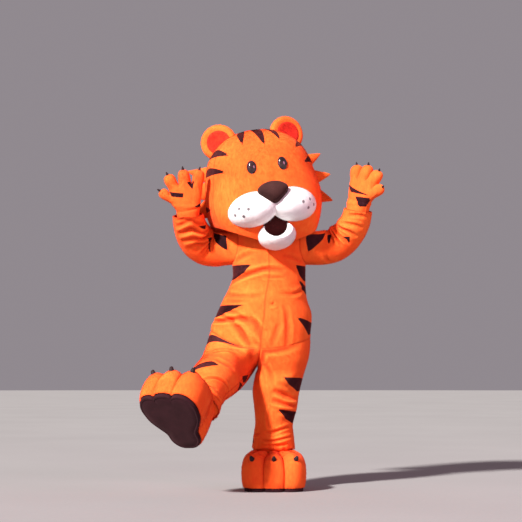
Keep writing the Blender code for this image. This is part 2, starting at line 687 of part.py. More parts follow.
def build_mouth(face, material, collection, cutters, matrix):
    """The mouth is an opening in the helmet, closed by a see-through gauze set in it."""
    use_boolean(face, mouth_space("mouth_cutter", 0.0, cutters, matrix))
    apply_modifiers(face)
    gauze_depth, gauze_half, spokes = 0.006, 0.001, 16
    centre_way = unit(np.array((0.0, -0.26, MOUTH["centre"][2])))
    bm = bmesh.new()
    layers = []
    for depth in (gauze_depth - gauze_half, gauze_depth + gauze_half):
        rings = []
        for share in (1.25, 0.75, 0.4):
            ring = []
            for k in range(spokes):
                turn = math.tau * (k + 0.5) / spokes
                across = share * MOUTH["radii"][0] * math.cos(turn)
                level = MOUTH["centre"][2] + share * MOUTH["radii"][2] * math.sin(turn)
                way = unit(np.array((across, -0.26, level)))
                ring.append((head_radius(way) - depth) * way)
            rings.append(ring)
        layers.append((rings, (head_radius(centre_way) - depth) * centre_way))
    outside = disc_faces(bm, layers[0][0], layers[0][1], False)
    inside = disc_faces(bm, layers[1][0], layers[1][1], True)
    for j, vertex in enumerate(outside):
        k = (j + 1) % spokes
        bm.faces.new((vertex, inside[j], inside[k], outside[k]))
    gauze = object_from("mouth_gauze", bm, material, collection, matrix)
    use_boolean(gauze, mouth_space("gauze_cutter", SEAM_GAP, cutters, matrix), "INTERSECT")
    apply_modifiers(gauze)


def ear_profile(share):
    """Half thickness and front dish of the ear, from its middle out to its edge."""
    edge = math.sqrt(max(0.0, 1.0 - share ** 4))
    return EAR["half_thickness"] * (0.35 + 0.65 * edge), EAR["dish"] * (1 - share ** 2) ** 1.2


def ear_frame(side):
    lean = Matrix.Rotation(side * math.radians(EAR["lean"]), 4, "Y")
    turn = Matrix.Rotation(side * math.radians(EAR["turn"]), 4, "Z")
    x, y, z = EAR["centre"]
    return Matrix.Translation((side * x, y, z)) @ turn @ lean


def build_ear(side, side_name, plush, inner, cutter, collection, matrix):
    """A rounded foam disc with a dished front, and the inner ear's own cloth in the dish."""
    spokes, shares = 20, (1.0, 0.93, 0.72, 0.42)
    frame = ear_frame(side)
    bm = bmesh.new()
    layers = []
    for way in (-1.0, 1.0):
        rings = []
        for share in shares:
            half, dish = ear_profile(share)
            y = way * half + (dish if way < 0 else 0.0)
            y = 0.0 if share == 1.0 else y
            grow = EAR["radius"] * (1.0 if share < 1.0 else 1.02)
            rings.append([frame @ Vector((grow * share * math.cos(t), y, grow * share * math.sin(t)))
                          for t in np.arange(spokes) * math.tau / spokes])
        half, dish = ear_profile(0.0)
        middle = frame @ Vector((0.0, way * half + (dish if way < 0 else 0.0), 0.0))
        layers.append((rings, middle))
    front = disc_faces(bm, layers[0][0], layers[0][1], False)
    back = disc_faces(bm, layers[1][0], layers[1][1], True)
    bmesh.ops.weld_verts(bm, targetmap=dict(zip(back, front)))
    ear = object_from(f"ear_{side_name}", bm, plush, collection, matrix)
    use_boolean(ear, cutter)
    apply_modifiers(ear)
    build_inner_ear(side, side_name, inner, cutter, collection, matrix)
    return ear


def build_inner_ear(side, side_name, material, cutter, collection, matrix):
    spokes, cloth_gap = 20, 0.0009
    frame = ear_frame(side)
    bm = bmesh.new()
    layers = []
    for lift in (cloth_gap + CLOTH, cloth_gap):
        rings = []
        for share in (0.62, 0.42):
            half, dish = ear_profile(share)
            y = -half + dish - lift
            rings.append([frame @ Vector((EAR["radius"] * share * math.cos(t), y,
                                          EAR["radius"] * share * math.sin(t)))
                          for t in np.arange(spokes) * math.tau / spokes])
        half, dish = ear_profile(0.0)
        layers.append((rings, frame @ Vector((0.0, -half + dish - lift, 0.0))))
    outside = disc_faces(bm, layers[0][0], layers[0][1], False)
    inside = disc_faces(bm, layers[1][0], layers[1][1], True)
    for j, vertex in enumerate(outside):
        k = (j + 1) % spokes
        bm.faces.new((vertex, inside[j], inside[k], outside[k]))
    made = object_from(f"ear_inner_{side_name}", bm, material, collection, matrix)
    use_boolean(made, cutter)
    apply_modifiers(made)


def build_tuft(side, name, row, plush, cutter, collection, matrix):
    """A flat, stuffed point of plush that stands out from the cheek."""
    tuft = dict(zip(TUFT_COLUMNS, row))
    turn = side * math.radians(tuft["turn"])
    way = unit(np.array((math.sin(turn), -math.cos(turn), tuft["height"] / HEAD_WIDTH)))
    root = Vector(head_radius(way) * way)
    droop = math.radians(tuft["droop"])
    out = Vector((side * math.cos(droop), 0.16, math.sin(droop))).normalized()
    sunk = 0.040
    bm = bmesh.new()
    bmesh.ops.create_cone(bm, cap_ends=True, cap_tris=True, segments=12, radius1=1.0,
                          radius2=0.10, depth=1.0)
    bm.transform(Matrix.Translation((0.0, 0.0, 0.5)))
    bm.transform(Matrix.Diagonal((tuft["half_width"], 0.019, tuft["length"] + sunk, 1.0)))
    axis = out.to_track_quat("Z", "X").to_matrix()
    up = Vector((0.0, 0.0, 1.0))
    flat = (up - up.dot(out) * out).normalized()
    across = out.cross(flat)
    axis = Matrix((flat, across, out)).transposed()
    bm.transform(Matrix.Translation(root - sunk * out) @ axis.to_4x4())
    made = object_from(name, bm, plush, collection, matrix)
    use_boolean(made, cutter)
    apply_modifiers(made)


def build_head(materials, collection, cutters):
    plush, white, dark = materials["plush"], materials["white"], materials["dark"]
    matrix = head_matrix()
    rings = head_rings()
    normals = closed_normals(rings)
    closed = np.concatenate([rings, rings[:, :1]], axis=1)
    closed_ways = np.concatenate([normals, normals[:, :1]], axis=1)
    spans = {"head_face": (0, FACE_STEPS), "head_side_left": (FACE_STEPS, FACE_STEPS + SIDE_STEPS),
             "head_side_right": (FACE_STEPS + SIDE_STEPS, FACE_STEPS + 2 * SIDE_STEPS)}
    made = {}
    for name, (first, last) in spans.items():
        made[name] = wall_panel(name, closed[:, first:last + 1], closed_ways[:, first:last + 1],
                                HEAD_FOAM, plush, collection, matrix)
    build_crown(rings, normals, plush, collection, matrix)
    cutter = head_cutter(rings, normals, cutters, matrix)
    build_mouth(made["head_face"], dark, collection, cutters, matrix)
    muzzle = build_muzzle(white, cutter, collection, cutters, matrix)
    muzzle_grown = grown_copy(muzzle, cutters, SEAM_GAP)
    jaw = ellipsoid("jaw", JAW["centre"], JAW["radii"], white, collection, matrix,
                    segments=16, rings=10)
    mouth = ellipsoid("mouth_space", MOUTH["centre"], MOUTH["radii"], None, cutters, matrix)
    mouth.hide_render = True
    mouth.display_type = "WIRE"
    for tool in (cutter, mouth, muzzle_grown):
        use_boolean(jaw, tool)
    apply_modifiers(jaw)
    nose = ellipsoid("nose", NOSE["centre"], NOSE["radii"], materials["nose"], collection, matrix,
                     segments=16, rings=10)
    taper_nose(nose)
    for tool in (cutter, muzzle_grown):
        use_boolean(nose, tool)
    apply_modifiers(nose)
    for side, side_name in ((1, "left"), (-1, "right")):
        x, y, z = EYE["centre"]
        eye = ellipsoid(f"eye_{side_name}", (side * x, y, z), EYE["radii"], materials["eye"],
                        collection, matrix, segments=14, rings=8)
        use_boolean(eye, cutter)
        apply_modifiers(eye)
        build_ear(side, side_name, plush, materials["inner_ear"], cutter, collection, matrix)
        for number, row in enumerate(TUFTS, start=1):
            name = f"cheek_tuft_{side_name}_{number}"
            build_tuft(side, name, row, plush, cutter, collection, matrix)


def build_muzzle(white, cutter, collection, cutters, matrix):
    """Two stuffed pads sewn as one piece, with the mouth's space cut out below them."""
    x, y, z = MUZZLE_PAD["centre"]
    ways = [Matrix.Rotation(side * math.radians(MUZZLE_PAD["turn"]), 4, "Z")
            @ Matrix.Rotation(side * math.radians(MUZZLE_PAD["lean"]), 4, "Y")
            for side in (1, -1)]
    muzzle = ellipsoid("muzzle", (x, y, z), MUZZLE_PAD["radii"], white, collection, matrix,
                       segments=18, rings=12, rotation=ways[0])
    other = ellipsoid("muzzle_pad", (-x, y, z), MUZZLE_PAD["radii"], None, cutters, matrix,
                      segments=17, rings=11, rotation=ways[1])
    other.hide_render = True
    other.display_type = "WIRE"
    use_boolean(muzzle, other, "UNION")
    use_boolean(muzzle, cutter)
    apply_modifiers(muzzle)
    return muzzle


def taper_nose(nose):
    """Narrows the nose towards its lower end."""
    low, half = NOSE["centre"][2], NOSE["radii"][2]
    for vertex in nose.data.vertices:
        down = (low - vertex.co.z) / half
        vertex.co.x *= 1.0 - 0.42 * smooth((down + 0.6) / 1.6)


# Boots.


def boot_radius(angle):
    degrees = [row[0] for row in BOOT_PLAN]
    radii = [row[1] for row in BOOT_PLAN]
    a = abs((math.degrees(angle) + 180.0) % 360.0 - 180.0)
    place = np.interp(a, degrees, range(len(degrees)))
    return spline([(r,) for r in radii], place / (len(radii) - 1))[0]


def toe_groove(angle):
    """The two grooves between the three toes."""
    off = abs((abs(math.degrees(angle)) - math.degrees(TOE_GROOVE_ANGLE))) / 5.0
    return TOE_GROOVE * max(0.0, 1.0 - off) ** 1.5


def boot_angles():
    right = [-a for a in BOOT_SPOKES[1:-1]]
    return np.radians(list(BOOT_SPOKES) + right[::-1])


def boot_point(angle, row):
    """A point of the boot's outside: row 0 is the sole's edge and the last is the ankle."""
    profile = spline(BOOT_PROFILE, row / (len(BOOT_PROFILE) - 1))
    reach, height, groove = profile
    way = np.array((math.sin(angle), -math.cos(angle)))
    front = max(0.0, math.cos(angle))
    bulge = 1.0 + (max(reach, 1.0) - 1.0) * (0.5 + 0.5 * front)
    plan = boot_radius(angle) * bulge - toe_groove(angle) * groove
    edge = plan * way + np.array((0.0, BOOT_CENTRE_Y))
    ankle = ANKLE_RADIUS * ankle_way(angle)
    flat = ankle + (edge - ankle) * min(reach, 1.0)
    top = SOLE_THICKNESS + SEAM_GAP + BOOT_HEIGHT * (1.0 - 0.05 * front) * height
    return np.array((flat[0], flat[1], top - 0.6 * toe_groove(angle) * groove * height))


def ankle_way(angle):
    """The spoke that reaches the round ankle from the plan's own centre."""
    reach = 0.18
    spot = np.array((reach * math.sin(angle), -reach * math.cos(angle) + BOOT_CENTRE_Y * 0.5))
    return unit(spot)


def boot_rings():
    rings = [[boot_point(a, row) for a in boot_angles()] for row in range(len(BOOT_PROFILE))]
    for height, radius in COLLAR:
        rings.append([(*(radius * ankle_way(a)), height) for a in boot_angles()])
    return np.array(rings)


def build_boot(side_name, matrix, materials, collection, cutters):
    rings = boot_rings()
    normals = closed_normals(rings)
    quarter = BOOT_SPOKES.index(90)
    rolled = np.roll(rings, quarter, axis=1)
    ways = np.roll(normals, quarter, axis=1)
    closed = np.concatenate([rolled, rolled[:, :1]], axis=1)
    closed_ways = np.concatenate([ways, ways[:, :1]], axis=1)
    half = 2 * quarter
    wall_panel(f"boot_{side_name}_toe", closed[:, : half + 1], closed_ways[:, : half + 1],
               BOOT_FOAM, materials["plush"], collection, matrix)
    wall_panel(f"boot_{side_name}_heel", closed[:, half:], closed_ways[:, half:], BOOT_FOAM,
               materials["plush"], collection, matrix)
    build_sole(side_name, matrix, materials["sole"], collection)
    outside = closed_boot(side_name, rings, normals, cutters, matrix)
    for number, angle in enumerate((-2 * TOE_GROOVE_ANGLE, 0.0, 2 * TOE_GROOVE_ANGLE), start=1):
        root = boot_point(angle, 3.6)
        out = np.array((math.sin(angle), -math.cos(angle), 0.62))
        name = f"boot_{side_name}_claw_{number}"
        build_claw(name, Vector(root), Vector(out), 0.026, 0.0105, materials["claw"], outside,
                   collection, matrix)


def closed_boot(side_name, rings, normals, cutters, matrix):
    """The boot's outside as one closed body, a seam's gap larger, to cut its claws."""
    grown = rings + SEAM_GAP * normals
    bm = bmesh.new()
    made = [[bm.verts.new(p) for p in ring] for ring in grown]
    for low, high in zip(made, made[1:]):
        for j in range(len(low)):
            k = (j + 1) % len(low)
            bm.faces.new((low[j], low[k], high[k]))
            bm.faces.new((low[j], high[k], high[j]))
    fan_cap(bm, made[0])
    fan_cap(bm, made[-1])
    body = object_from(f"boot_{side_name}_outside", bm, None, cutters, matrix)
    body.hide_render = True
    body.display_type = "WIRE"
    return body


def build_sole(side_name, matrix, material, collection):
    inset = 0.007
    bm = bmesh.new()
    outline = []
    for angle in boot_angles():
        radius = boot_radius(angle) - toe_groove(angle) - inset
        outline.append(bm.verts.new((radius * math.sin(angle),
                                     BOOT_CENTRE_Y - radius * math.cos(angle), 0.0)))
    face = bm.faces.new(outline)
    made = bmesh.ops.extrude_face_region(bm, geom=[face])
    top = [v for v in made["geom"] if isinstance(v, bmesh.types.BMVert)]
    bmesh.ops.translate(bm, verts=top, vec=(0.0, 0.0, SOLE_THICKNESS))
    bmesh.ops.triangulate(bm, faces=bm.faces)
    object_from(f"boot_{side_name}_sole", bm, material, collection, matrix)


def build_claw(name, root, out, length, radius, material, cutter, collection, matrix):
    """A small curved-looking claw: a cone whose root is cut to the plush it is sewn to."""
    sunk = 0.010
    bm = bmesh.new()
    bmesh.ops.create_cone(bm, cap_ends=True, cap_tris=True, segments=8, radius1=radius,
                          radius2=radius * 0.16, depth=length + sunk)
    out = out.normalized()
    bm.transform(Matrix.Translation((0.0, 0.0, (length + sunk) / 2 - sunk)))
    bm.transform(Matrix.Translation(root) @ out.to_track_quat("Z", "X").to_matrix().to_4x4())
    claw = object_from(name, bm, material, collection, matrix)
    use_boolean(claw, cutter)
    apply_modifiers(claw)


def kicked_boot_matrix():
    """The kicked boot's frame: its sole faces the sole way, and its ankle meets the leg."""
    up = -KICK_SOLE_WAY.normalized()
    toe = (KICK_TOE_WAY - KICK_TOE_WAY.dot(up) * up).normalized()
    across = up.cross(toe)
    axes = Matrix((-across, -toe, up)).transposed()
    if axes.determinant() < 0:
        axes = Matrix((across, -toe, up)).transposed()
    start = KICKED_ANKLE - HEM_HEIGHT * up
    return Matrix.Translation(start) @ axes.to_4x4()


# Mitts.


def mitt_frame(wrist, mirror):
    place, up, spin = wrist
    up = up.normalized()
    across = (Vector((1.0, 0.0, 0.0)) - up.x * up).normalized()
    back = up.cross(across)
    axes = Matrix((across, back, up)).transposed().to_4x4()
    turned = axes @ Matrix.Rotation(math.radians(spin), 4, "Z")
    return Matrix.Translation(place) @ turned


def mitt_ring(bm, row, mirror):
    """Eight cage points round the hand: four across its back, then four across its palm."""
    ring = dict(zip(MITT_COLUMNS, row))
    across = (-1.0, -0.36, 0.36, 1.0)
    round_off = (0.56, 1.0, 1.0, 0.56)
    front, back = [
        [bm.verts.new((mirror * ring["half_width"] * a,
                       ring["set_back"] + way * ring["half_thickness"] * r, ring["height"]))
         for a, r in zip(across, round_off)]
        for way in (-1.0, 1.0)]
    return front, back


def digit(bm, base, start, way, length, half, flat):
    """Extrudes a four-sided cage finger from the base face's corners."""
    way = way.normalized()
    side = Vector((way.z, 0.0, -way.x)).normalized()
    thick = way.cross(side)
    middle = sum((v.co for v in base), Vector()) / 4
    last = base
    for reach, grow in ((0.55, 1.06), (1.0, 0.78)):
        centre = start + way * length * reach + thick * 0.012 * reach ** 2
        ring = []
        for corner in base:
            off = corner.co - middle
            across = math.copysign(half * grow, off.dot(side))
            deep = math.copysign(half * flat * grow, off.dot(thick))
            ring.append(bm.verts.new(centre + across * side + deep * thick))
        for k in range(4):
            m = (k + 1) % 4
            bm.faces.new((last[k], last[m], ring[m], ring[k]))
        last = ring
    bm.faces.new(last)
    return start + way * length * 1.02 + thick * 0.012, way


def mitt_cage(mirror):
    """A coarse cage of the hand: rings for the palm, three fingers and a thumb."""
    bm = bmesh.new()
    rings = [mitt_ring(bm, row, mirror) for row in MITT_RINGS]
    tips = []
    thumb_level = 2
    for level, ((front, back), (next_front, next_back)) in enumerate(zip(rings, rings[1:])):
        for k in range(3):
            bm.faces.new((front[k], front[k + 1], next_front[k + 1], next_front[k]))
            bm.faces.new((back[k + 1], back[k], next_back[k], next_back[k + 1]))
        bm.faces.new((front[3], back[3], next_back[3], next_front[3]))
        if level != thumb_level:
            bm.faces.new((back[0], front[0], next_front[0], next_back[0]))
            continue
        base = [back[0], front[0], next_front[0], next_back[0]]
        start = sum((v.co for v in base), Vector()) / 4
        lean = math.radians(THUMB_LEAN)
        way = Vector((-mirror * math.sin(lean), 0.0, math.cos(lean)))
        tips.append(digit(bm, base, start, way, THUMB_LENGTH, FINGER_HALF * 0.92, 0.9))
    front, back = rings[-1]
    for k, (lean, length) in enumerate(zip(FINGER_LEAN, FINGER_LENGTH)):
        base = [front[k], front[k + 1], back[k + 1], back[k]]
        start = sum((v.co for v in base), Vector()) / 4
        way = Vector((mirror * math.sin(math.radians(lean)), 0.0, math.cos(math.radians(lean))))
        tips.append(digit(bm, base, start, way, length, FINGER_HALF, 0.95))
    return bm, tips


def build_mitt(side_name, wrist, mirror, materials, collection, cutters):
    matrix = mitt_frame(wrist, mirror)
    bm, tips = mitt_cage(mirror)
    whole = object_from(f"mitt_{side_name}_whole", bm, None, cutters, matrix)
    whole.hide_render = True
    whole.display_type = "WIRE"
    rounding = whole.modifiers.new("Rounding", "SUBSURF")
    rounding.levels = 1
    rounding.render_levels = 1
    apply_modifiers(whole)
    closed = closed_mitt(whole, side_name, cutters)
    wall = whole.modifiers.new("Wall", "SOLIDIFY")
    wall.thickness = CLOTH
    wall.offset = -1.0
    apply_modifiers(whole)
    for half_name, way in (("back", -1.0), ("palm", 1.0)):
        half = whole.copy()
        half.data = whole.data.copy()
        half.name = f"mitt_{side_name}_{half_name}"
        half.hide_render = False
        half.display_type = "TEXTURED"
        half.data.materials.clear()
        half.data.materials.append(materials["plush"])
        collection.objects.link(half)
        use_boolean(half, half_space(side_name, half_name, way, matrix, cutters), "INTERSECT")
        apply_modifiers(half)
    for number, (tip, way) in enumerate(tips, start=1):
        build_claw(f"mitt_{side_name}_claw_{number}", tip - 0.012 * way, way, CLAW_LENGTH,
                   CLAW_RADIUS, materials["claw"], closed, collection, matrix)


def closed_mitt(whole, side_name, cutters):
    """The mitt's outside, closed at the wrist and a seam's gap larger, to cut the claws."""
    bm = bmesh.new()
    bm.from_mesh(whole.data)
    bmesh.ops.holes_fill(bm, edges=[e for e in bm.edges if e.is_boundary])
    bmesh.ops.recalc_face_normals(bm, faces=bm.faces)
    bm.normal_update()
    for vertex in bm.verts:
        vertex.co += SEAM_GAP * vertex.normal
    made = object_from(f"mitt_{side_name}_outside", bm, None, cutters, whole.matrix_world.copy())
    made.hide_render = True
    made.display_type = "WIRE"
    return made


def half_space(side_name, half_name, way, matrix, cutters):
    """A box that keeps one side of the mitt's side seam."""
    size = 0.8
    bm = bmesh.new()
    bmesh.ops.create_cube(bm, size=size)
    bmesh.ops.translate(bm, verts=bm.verts, vec=(0.0, way * (size / 2 + SEAM_GAP / 2), 0.0))
    box = object_from(f"mitt_{side_name}_{half_name}_space", bm, None, cutters, matrix)
    box.hide_render = True
    box.display_type = "WIRE"
    return box


def main():
    remove_objects()
    costume = make_collection("tiger_costume")
    cutters = make_collection("cutters", hidden=True)
    materials = {
        "plush": plain_material("orange_plush", ORANGE, 0.95),
        "inner_ear": plain_material("inner_ear_plush", DEEP_ORANGE, 0.95),
        "white": plain_material("white_plush", WHITE, 0.95),
        "dark": plain_material("mouth_gauze", DARK, 0.9),
        "nose": plain_material("nose_felt", DARK, 0.6),
        "eye": plain_material("eye_plastic", DARK, 0.15),
        "sole": plain_material("sole_felt", DARK, 0.9),
        "claw": plain_material("claw_felt", DARK, 0.5),
    }
    build_jumpsuit(materials["plush"], costume)
    build_head(materials, costume, cutters)
    build_boot("left", STANDING_BOOT, materials, costume, cutters)
    build_boot("right", kicked_boot_matrix(), materials, costume, cutters)
    build_mitt("right", RIGHT_WRIST, 1.0, materials, costume, cutters)
    build_mitt("left", LEFT_WRIST, -1.0, materials, costume, cutters)


main()
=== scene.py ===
"""Looks of the plush tiger mascot costume: fine cloth shells on the solids' forms, with folds,
seams, stripes and pile, a glossy-eyed plush head, felt details, soft light and the camera.

Metres, in the CAD's own frame: +Z up, the costume faces -Y, left is the wearer's left, +X.
"""

import math

import bmesh
import bpy
import numpy as np
from mathutils import Matrix, Vector


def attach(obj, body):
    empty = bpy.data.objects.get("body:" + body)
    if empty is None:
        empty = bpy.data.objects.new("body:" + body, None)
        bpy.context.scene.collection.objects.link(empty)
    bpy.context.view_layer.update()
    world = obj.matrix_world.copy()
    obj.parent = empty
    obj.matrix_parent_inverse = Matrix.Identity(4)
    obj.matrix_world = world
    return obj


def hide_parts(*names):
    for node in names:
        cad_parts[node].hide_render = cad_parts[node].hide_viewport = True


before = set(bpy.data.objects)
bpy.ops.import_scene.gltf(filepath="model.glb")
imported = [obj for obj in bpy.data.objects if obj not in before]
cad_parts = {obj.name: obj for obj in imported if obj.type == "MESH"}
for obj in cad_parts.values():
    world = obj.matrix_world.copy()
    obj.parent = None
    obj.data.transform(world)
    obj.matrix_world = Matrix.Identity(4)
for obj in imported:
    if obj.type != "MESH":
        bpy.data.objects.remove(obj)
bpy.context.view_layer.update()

TAU = math.tau
FLOOR = -1.27
CLOTH = 0.003
SEAM = 0.00015
# Depth of the painted shade along seam grooves, given in the fold attribute's units.
SEAM_PAINTED_SHADE = 0.009
HEAD_FOAM = 0.012
BOOT_FOAM = 0.006

# The surfaces below repeat part.py's tables and rules, sampled more finely.
TORSO = np.array((
    (-0.505, -0.042, 0.256, 0.172, 0.190, 0.056, 0.040),
    (-0.465, -0.040, 0.255, 0.176, 0.188, 0.034, 0.024),
    (-0.420, -0.030, 0.250, 0.178, 0.182, 0.016, 0.010),
    (-0.370, -0.022, 0.240, 0.177, 0.172, 0.005, 0.003),
    (-0.310, -0.019, 0.217, 0.171, 0.158, 0.000, 0.000),
    (-0.250, -0.008, 0.198, 0.162, 0.148, 0.000, 0.000),
    (-0.190, 0.002, 0.187, 0.155, 0.142, 0.000, 0.000),
    (-0.128, 0.001, 0.189, 0.152, 0.142, 0.000, 0.000),
    (-0.108, 0.000, 0.190, 0.151, 0.142, 0.000, 0.000),
    (-0.076, 0.000, 0.190, 0.150, 0.141, 0.000, 0.000),
    (-0.040, 0.000, 0.188, 0.146, 0.138, 0.000, 0.000),
    (-0.004, 0.000, 0.185, 0.138, 0.132, 0.000, 0.000),
    (0.026, 0.000, 0.178, 0.124, 0.120, 0.000, 0.000),
    (0.044, 0.000, 0.165, 0.109, 0.108, 0.000, 0.000),
    (0.054, 0.000, 0.146, 0.098, 0.100, 0.000, 0.000),
    (0.068, 0.000, 0.114, 0.088, 0.093, 0.000, 0.000),
    (0.086, 0.000, 0.091, 0.081, 0.087, 0.000, 0.000),
    (0.106, 0.000, 0.086, 0.079, 0.083, 0.000, 0.000),
))
UNDERARM_ROW = 7
SHOULDER_ROW = 14
ARMHOLE = np.array((0.0, 0.34, 0.50, 0.56, 0.54, 0.46, 0.30, 0.0))
CROTCH_DROP = 0.080
CROTCH_SHIFT = -0.016
# Columns: centre x y z, axis x y z, half widths side front back, share of the first ring.
STANDING_LEG = (
    (0.085, 0.010, -0.560, 0.0, 0.0, -1.0, 0.128, 0.160, 0.180, 1.00),
    (0.078, 0.004, -0.625, -0.05, 0.0, -1.0, 0.122, 0.150, 0.165, 0.50),
    (0.056, 0.000, -0.690, -0.08, 0.0, -1.0, 0.121, 0.137, 0.145, 0.16),
    (0.036, -0.004, -0.780, -0.08, 0.0, -1.0, 0.118, 0.124, 0.126, 0.03),
    (0.034, -0.010, -0.860, -0.06, 0.0, -1.0, 0.109, 0.116, 0.113, 0.0),
    (0.027, -0.006, -0.938, -0.04, 0.03, -1.0, 0.096, 0.103, 0.108, 0.0),
    (0.025, 0.004, -1.004, -0.02, 0.03, -1.0, 0.103, 0.107, 0.110, 0.0),
    (0.024, 0.010, -1.060, 0.0, 0.0, -1.0, 0.110, 0.110, 0.110, 0.0),
)
KICKED_LEG = (
    (-0.165, 0.000, -0.560, 0.0, -0.15, -1.0, 0.130, 0.160, 0.180, 1.00),
    (-0.206, -0.070, -0.628, -0.10, -0.50, -0.85, 0.118, 0.148, 0.156, 0.50),
    (-0.236, -0.155, -0.676, -0.20, -0.75, -0.62, 0.118, 0.130, 0.130, 0.16),
    (-0.262, -0.250, -0.708, -0.28, -0.80, -0.50, 0.118, 0.120, 0.116, 0.03),
    (-0.293, -0.335, -0.742, -0.28, -0.78, -0.54, 0.112, 0.113, 0.106, 0.0),
    (-0.316, -0.390, -0.772, -0.26, -0.74, -0.61, 0.107, 0.108, 0.102, 0.0),
    (-0.330, -0.430, -0.803, -0.28, -0.67, -0.67, 0.106, 0.107, 0.105, 0.0),
    (-0.342, -0.464, -0.836, -0.31, -0.63, -0.70, 0.110, 0.110, 0.110, 0.0),
)
RIGHT_SLEEVE = (
    (-0.176, 0.000, -0.038, -1.0, 0.10, 0.00, 0.086, 0.078, 0.078, 1.00),
    (-0.220, 0.012, -0.040, -1.0, 0.16, -0.02, 0.089, 0.081, 0.081, 0.55),
    (-0.268, 0.022, -0.040, -1.0, 0.12, 0.05, 0.094, 0.085, 0.085, 0.18),
    (-0.318, 0.020, -0.030, -0.95, -0.20, 0.33, 0.097, 0.090, 0.086, 0.0),
    (-0.360, -0.006, -0.006, -0.70, -0.50, 0.55, 0.096, 0.089, 0.083, 0.0),
    (-0.388, -0.052, 0.030, -0.40, -0.62, 0.66, 0.090, 0.084, 0.080, 0.0),
    (-0.403, -0.104, 0.072, -0.16, -0.50, 0.85, 0.083, 0.079, 0.076, 0.0),
    (-0.411, -0.142, 0.118, -0.08, -0.30, 0.95, 0.078, 0.075, 0.074, 0.0),
)
LEFT_SLEEVE = (
    (0.176, 0.000, -0.038, 1.0, 0.10, 0.00, 0.086, 0.078, 0.078, 1.00),
    (0.224, 0.012, -0.038, 1.0, 0.16, 0.00, 0.088, 0.080, 0.080, 0.55),
    (0.282, 0.024, -0.034, 1.0, 0.12, 0.08, 0.089, 0.082, 0.082, 0.18),
    (0.340, 0.030, -0.018, 0.92, -0.08, 0.36, 0.089, 0.084, 0.082, 0.0),
    (0.388, 0.016, 0.014, 0.72, -0.36, 0.60, 0.086, 0.082, 0.079, 0.0),
    (0.425, -0.016, 0.058, 0.48, -0.46, 0.76, 0.081, 0.077, 0.075, 0.0),
    (0.448, -0.050, 0.104, 0.22, -0.36, 0.90, 0.076, 0.073, 0.071, 0.0),
    (0.459, -0.074, 0.152, 0.14, -0.22, 0.96, 0.072, 0.070, 0.069, 0.0),
)

# Folds: place along (0 to 1) and around (turns), reach along, reach around, slope and bow of
# its line, height.
TORSO_FOLDS = (
    (0.360, 0.290, 0.040, 0.16, 0.55, 0.0, 0.010),
    (0.280, 0.330, 0.036, 0.14, 0.55, 0.0, -0.009),
    (0.120, 0.360, 0.045, 0.13, -0.30, 0.0, -0.008),
    (0.060, 0.140, 0.045, 0.10, 0.40, 0.0, 0.007),
    (0.330, 0.780, 0.040, 0.15, -0.20, 0.0, -0.008),
)
STANDING_FOLDS = (
    (0.330, 0.200, 0.050, 0.13, 0.50, 0.0, 0.012),
    (0.450, 0.160, 0.045, 0.12, 0.40, 0.0, -0.009),
    (0.640, 0.110, 0.050, 0.10, 0.20, 0.0, -0.012),
    (0.800, 0.250, 0.045, 0.18, 0.05, 0.0, -0.009),
    (0.880, 0.240, 0.040, 0.18, 0.05, 0.0, 0.008),
    (0.560, 0.780, 0.050, 0.15, 0.10, 0.0, -0.010),
)
KICKED_FOLDS = (
    (0.170, 0.250, 0.050, 0.15, 0.15, 0.0, -0.012),
    (0.300, 0.260, 0.050, 0.14, 0.15, 0.0, 0.009),
    (0.600, 0.700, 0.050, 0.17, 0.10, 0.0, -0.010),
    (0.730, 0.680, 0.045, 0.17, 0.10, 0.0, 0.009),
    (0.800, 0.250, 0.045, 0.15, 0.05, 0.0, -0.008),
)
RIGHT_SLEEVE_FOLDS = (
    (0.440, 0.330, 0.042, 0.22, 0.06, 0.0, -0.010),
    (0.550, 0.340, 0.042, 0.22, 0.04, 0.0, 0.008),
    (0.660, 0.330, 0.042, 0.22, 0.02, 0.0, -0.011),
    (0.770, 0.340, 0.042, 0.21, 0.02, 0.0, 0.008),
    (0.870, 0.320, 0.042, 0.20, 0.00, 0.0, -0.009),
)
LEFT_SLEEVE_FOLDS = (
    (0.400, 0.440, 0.045, 0.19, 0.10, 0.0, -0.009),
    (0.520, 0.430, 0.045, 0.18, 0.08, 0.0, 0.007),
    (0.640, 0.420, 0.045, 0.19, 0.06, 0.0, -0.010),
    (0.760, 0.400, 0.045, 0.18, 0.04, 0.0, 0.007),
)

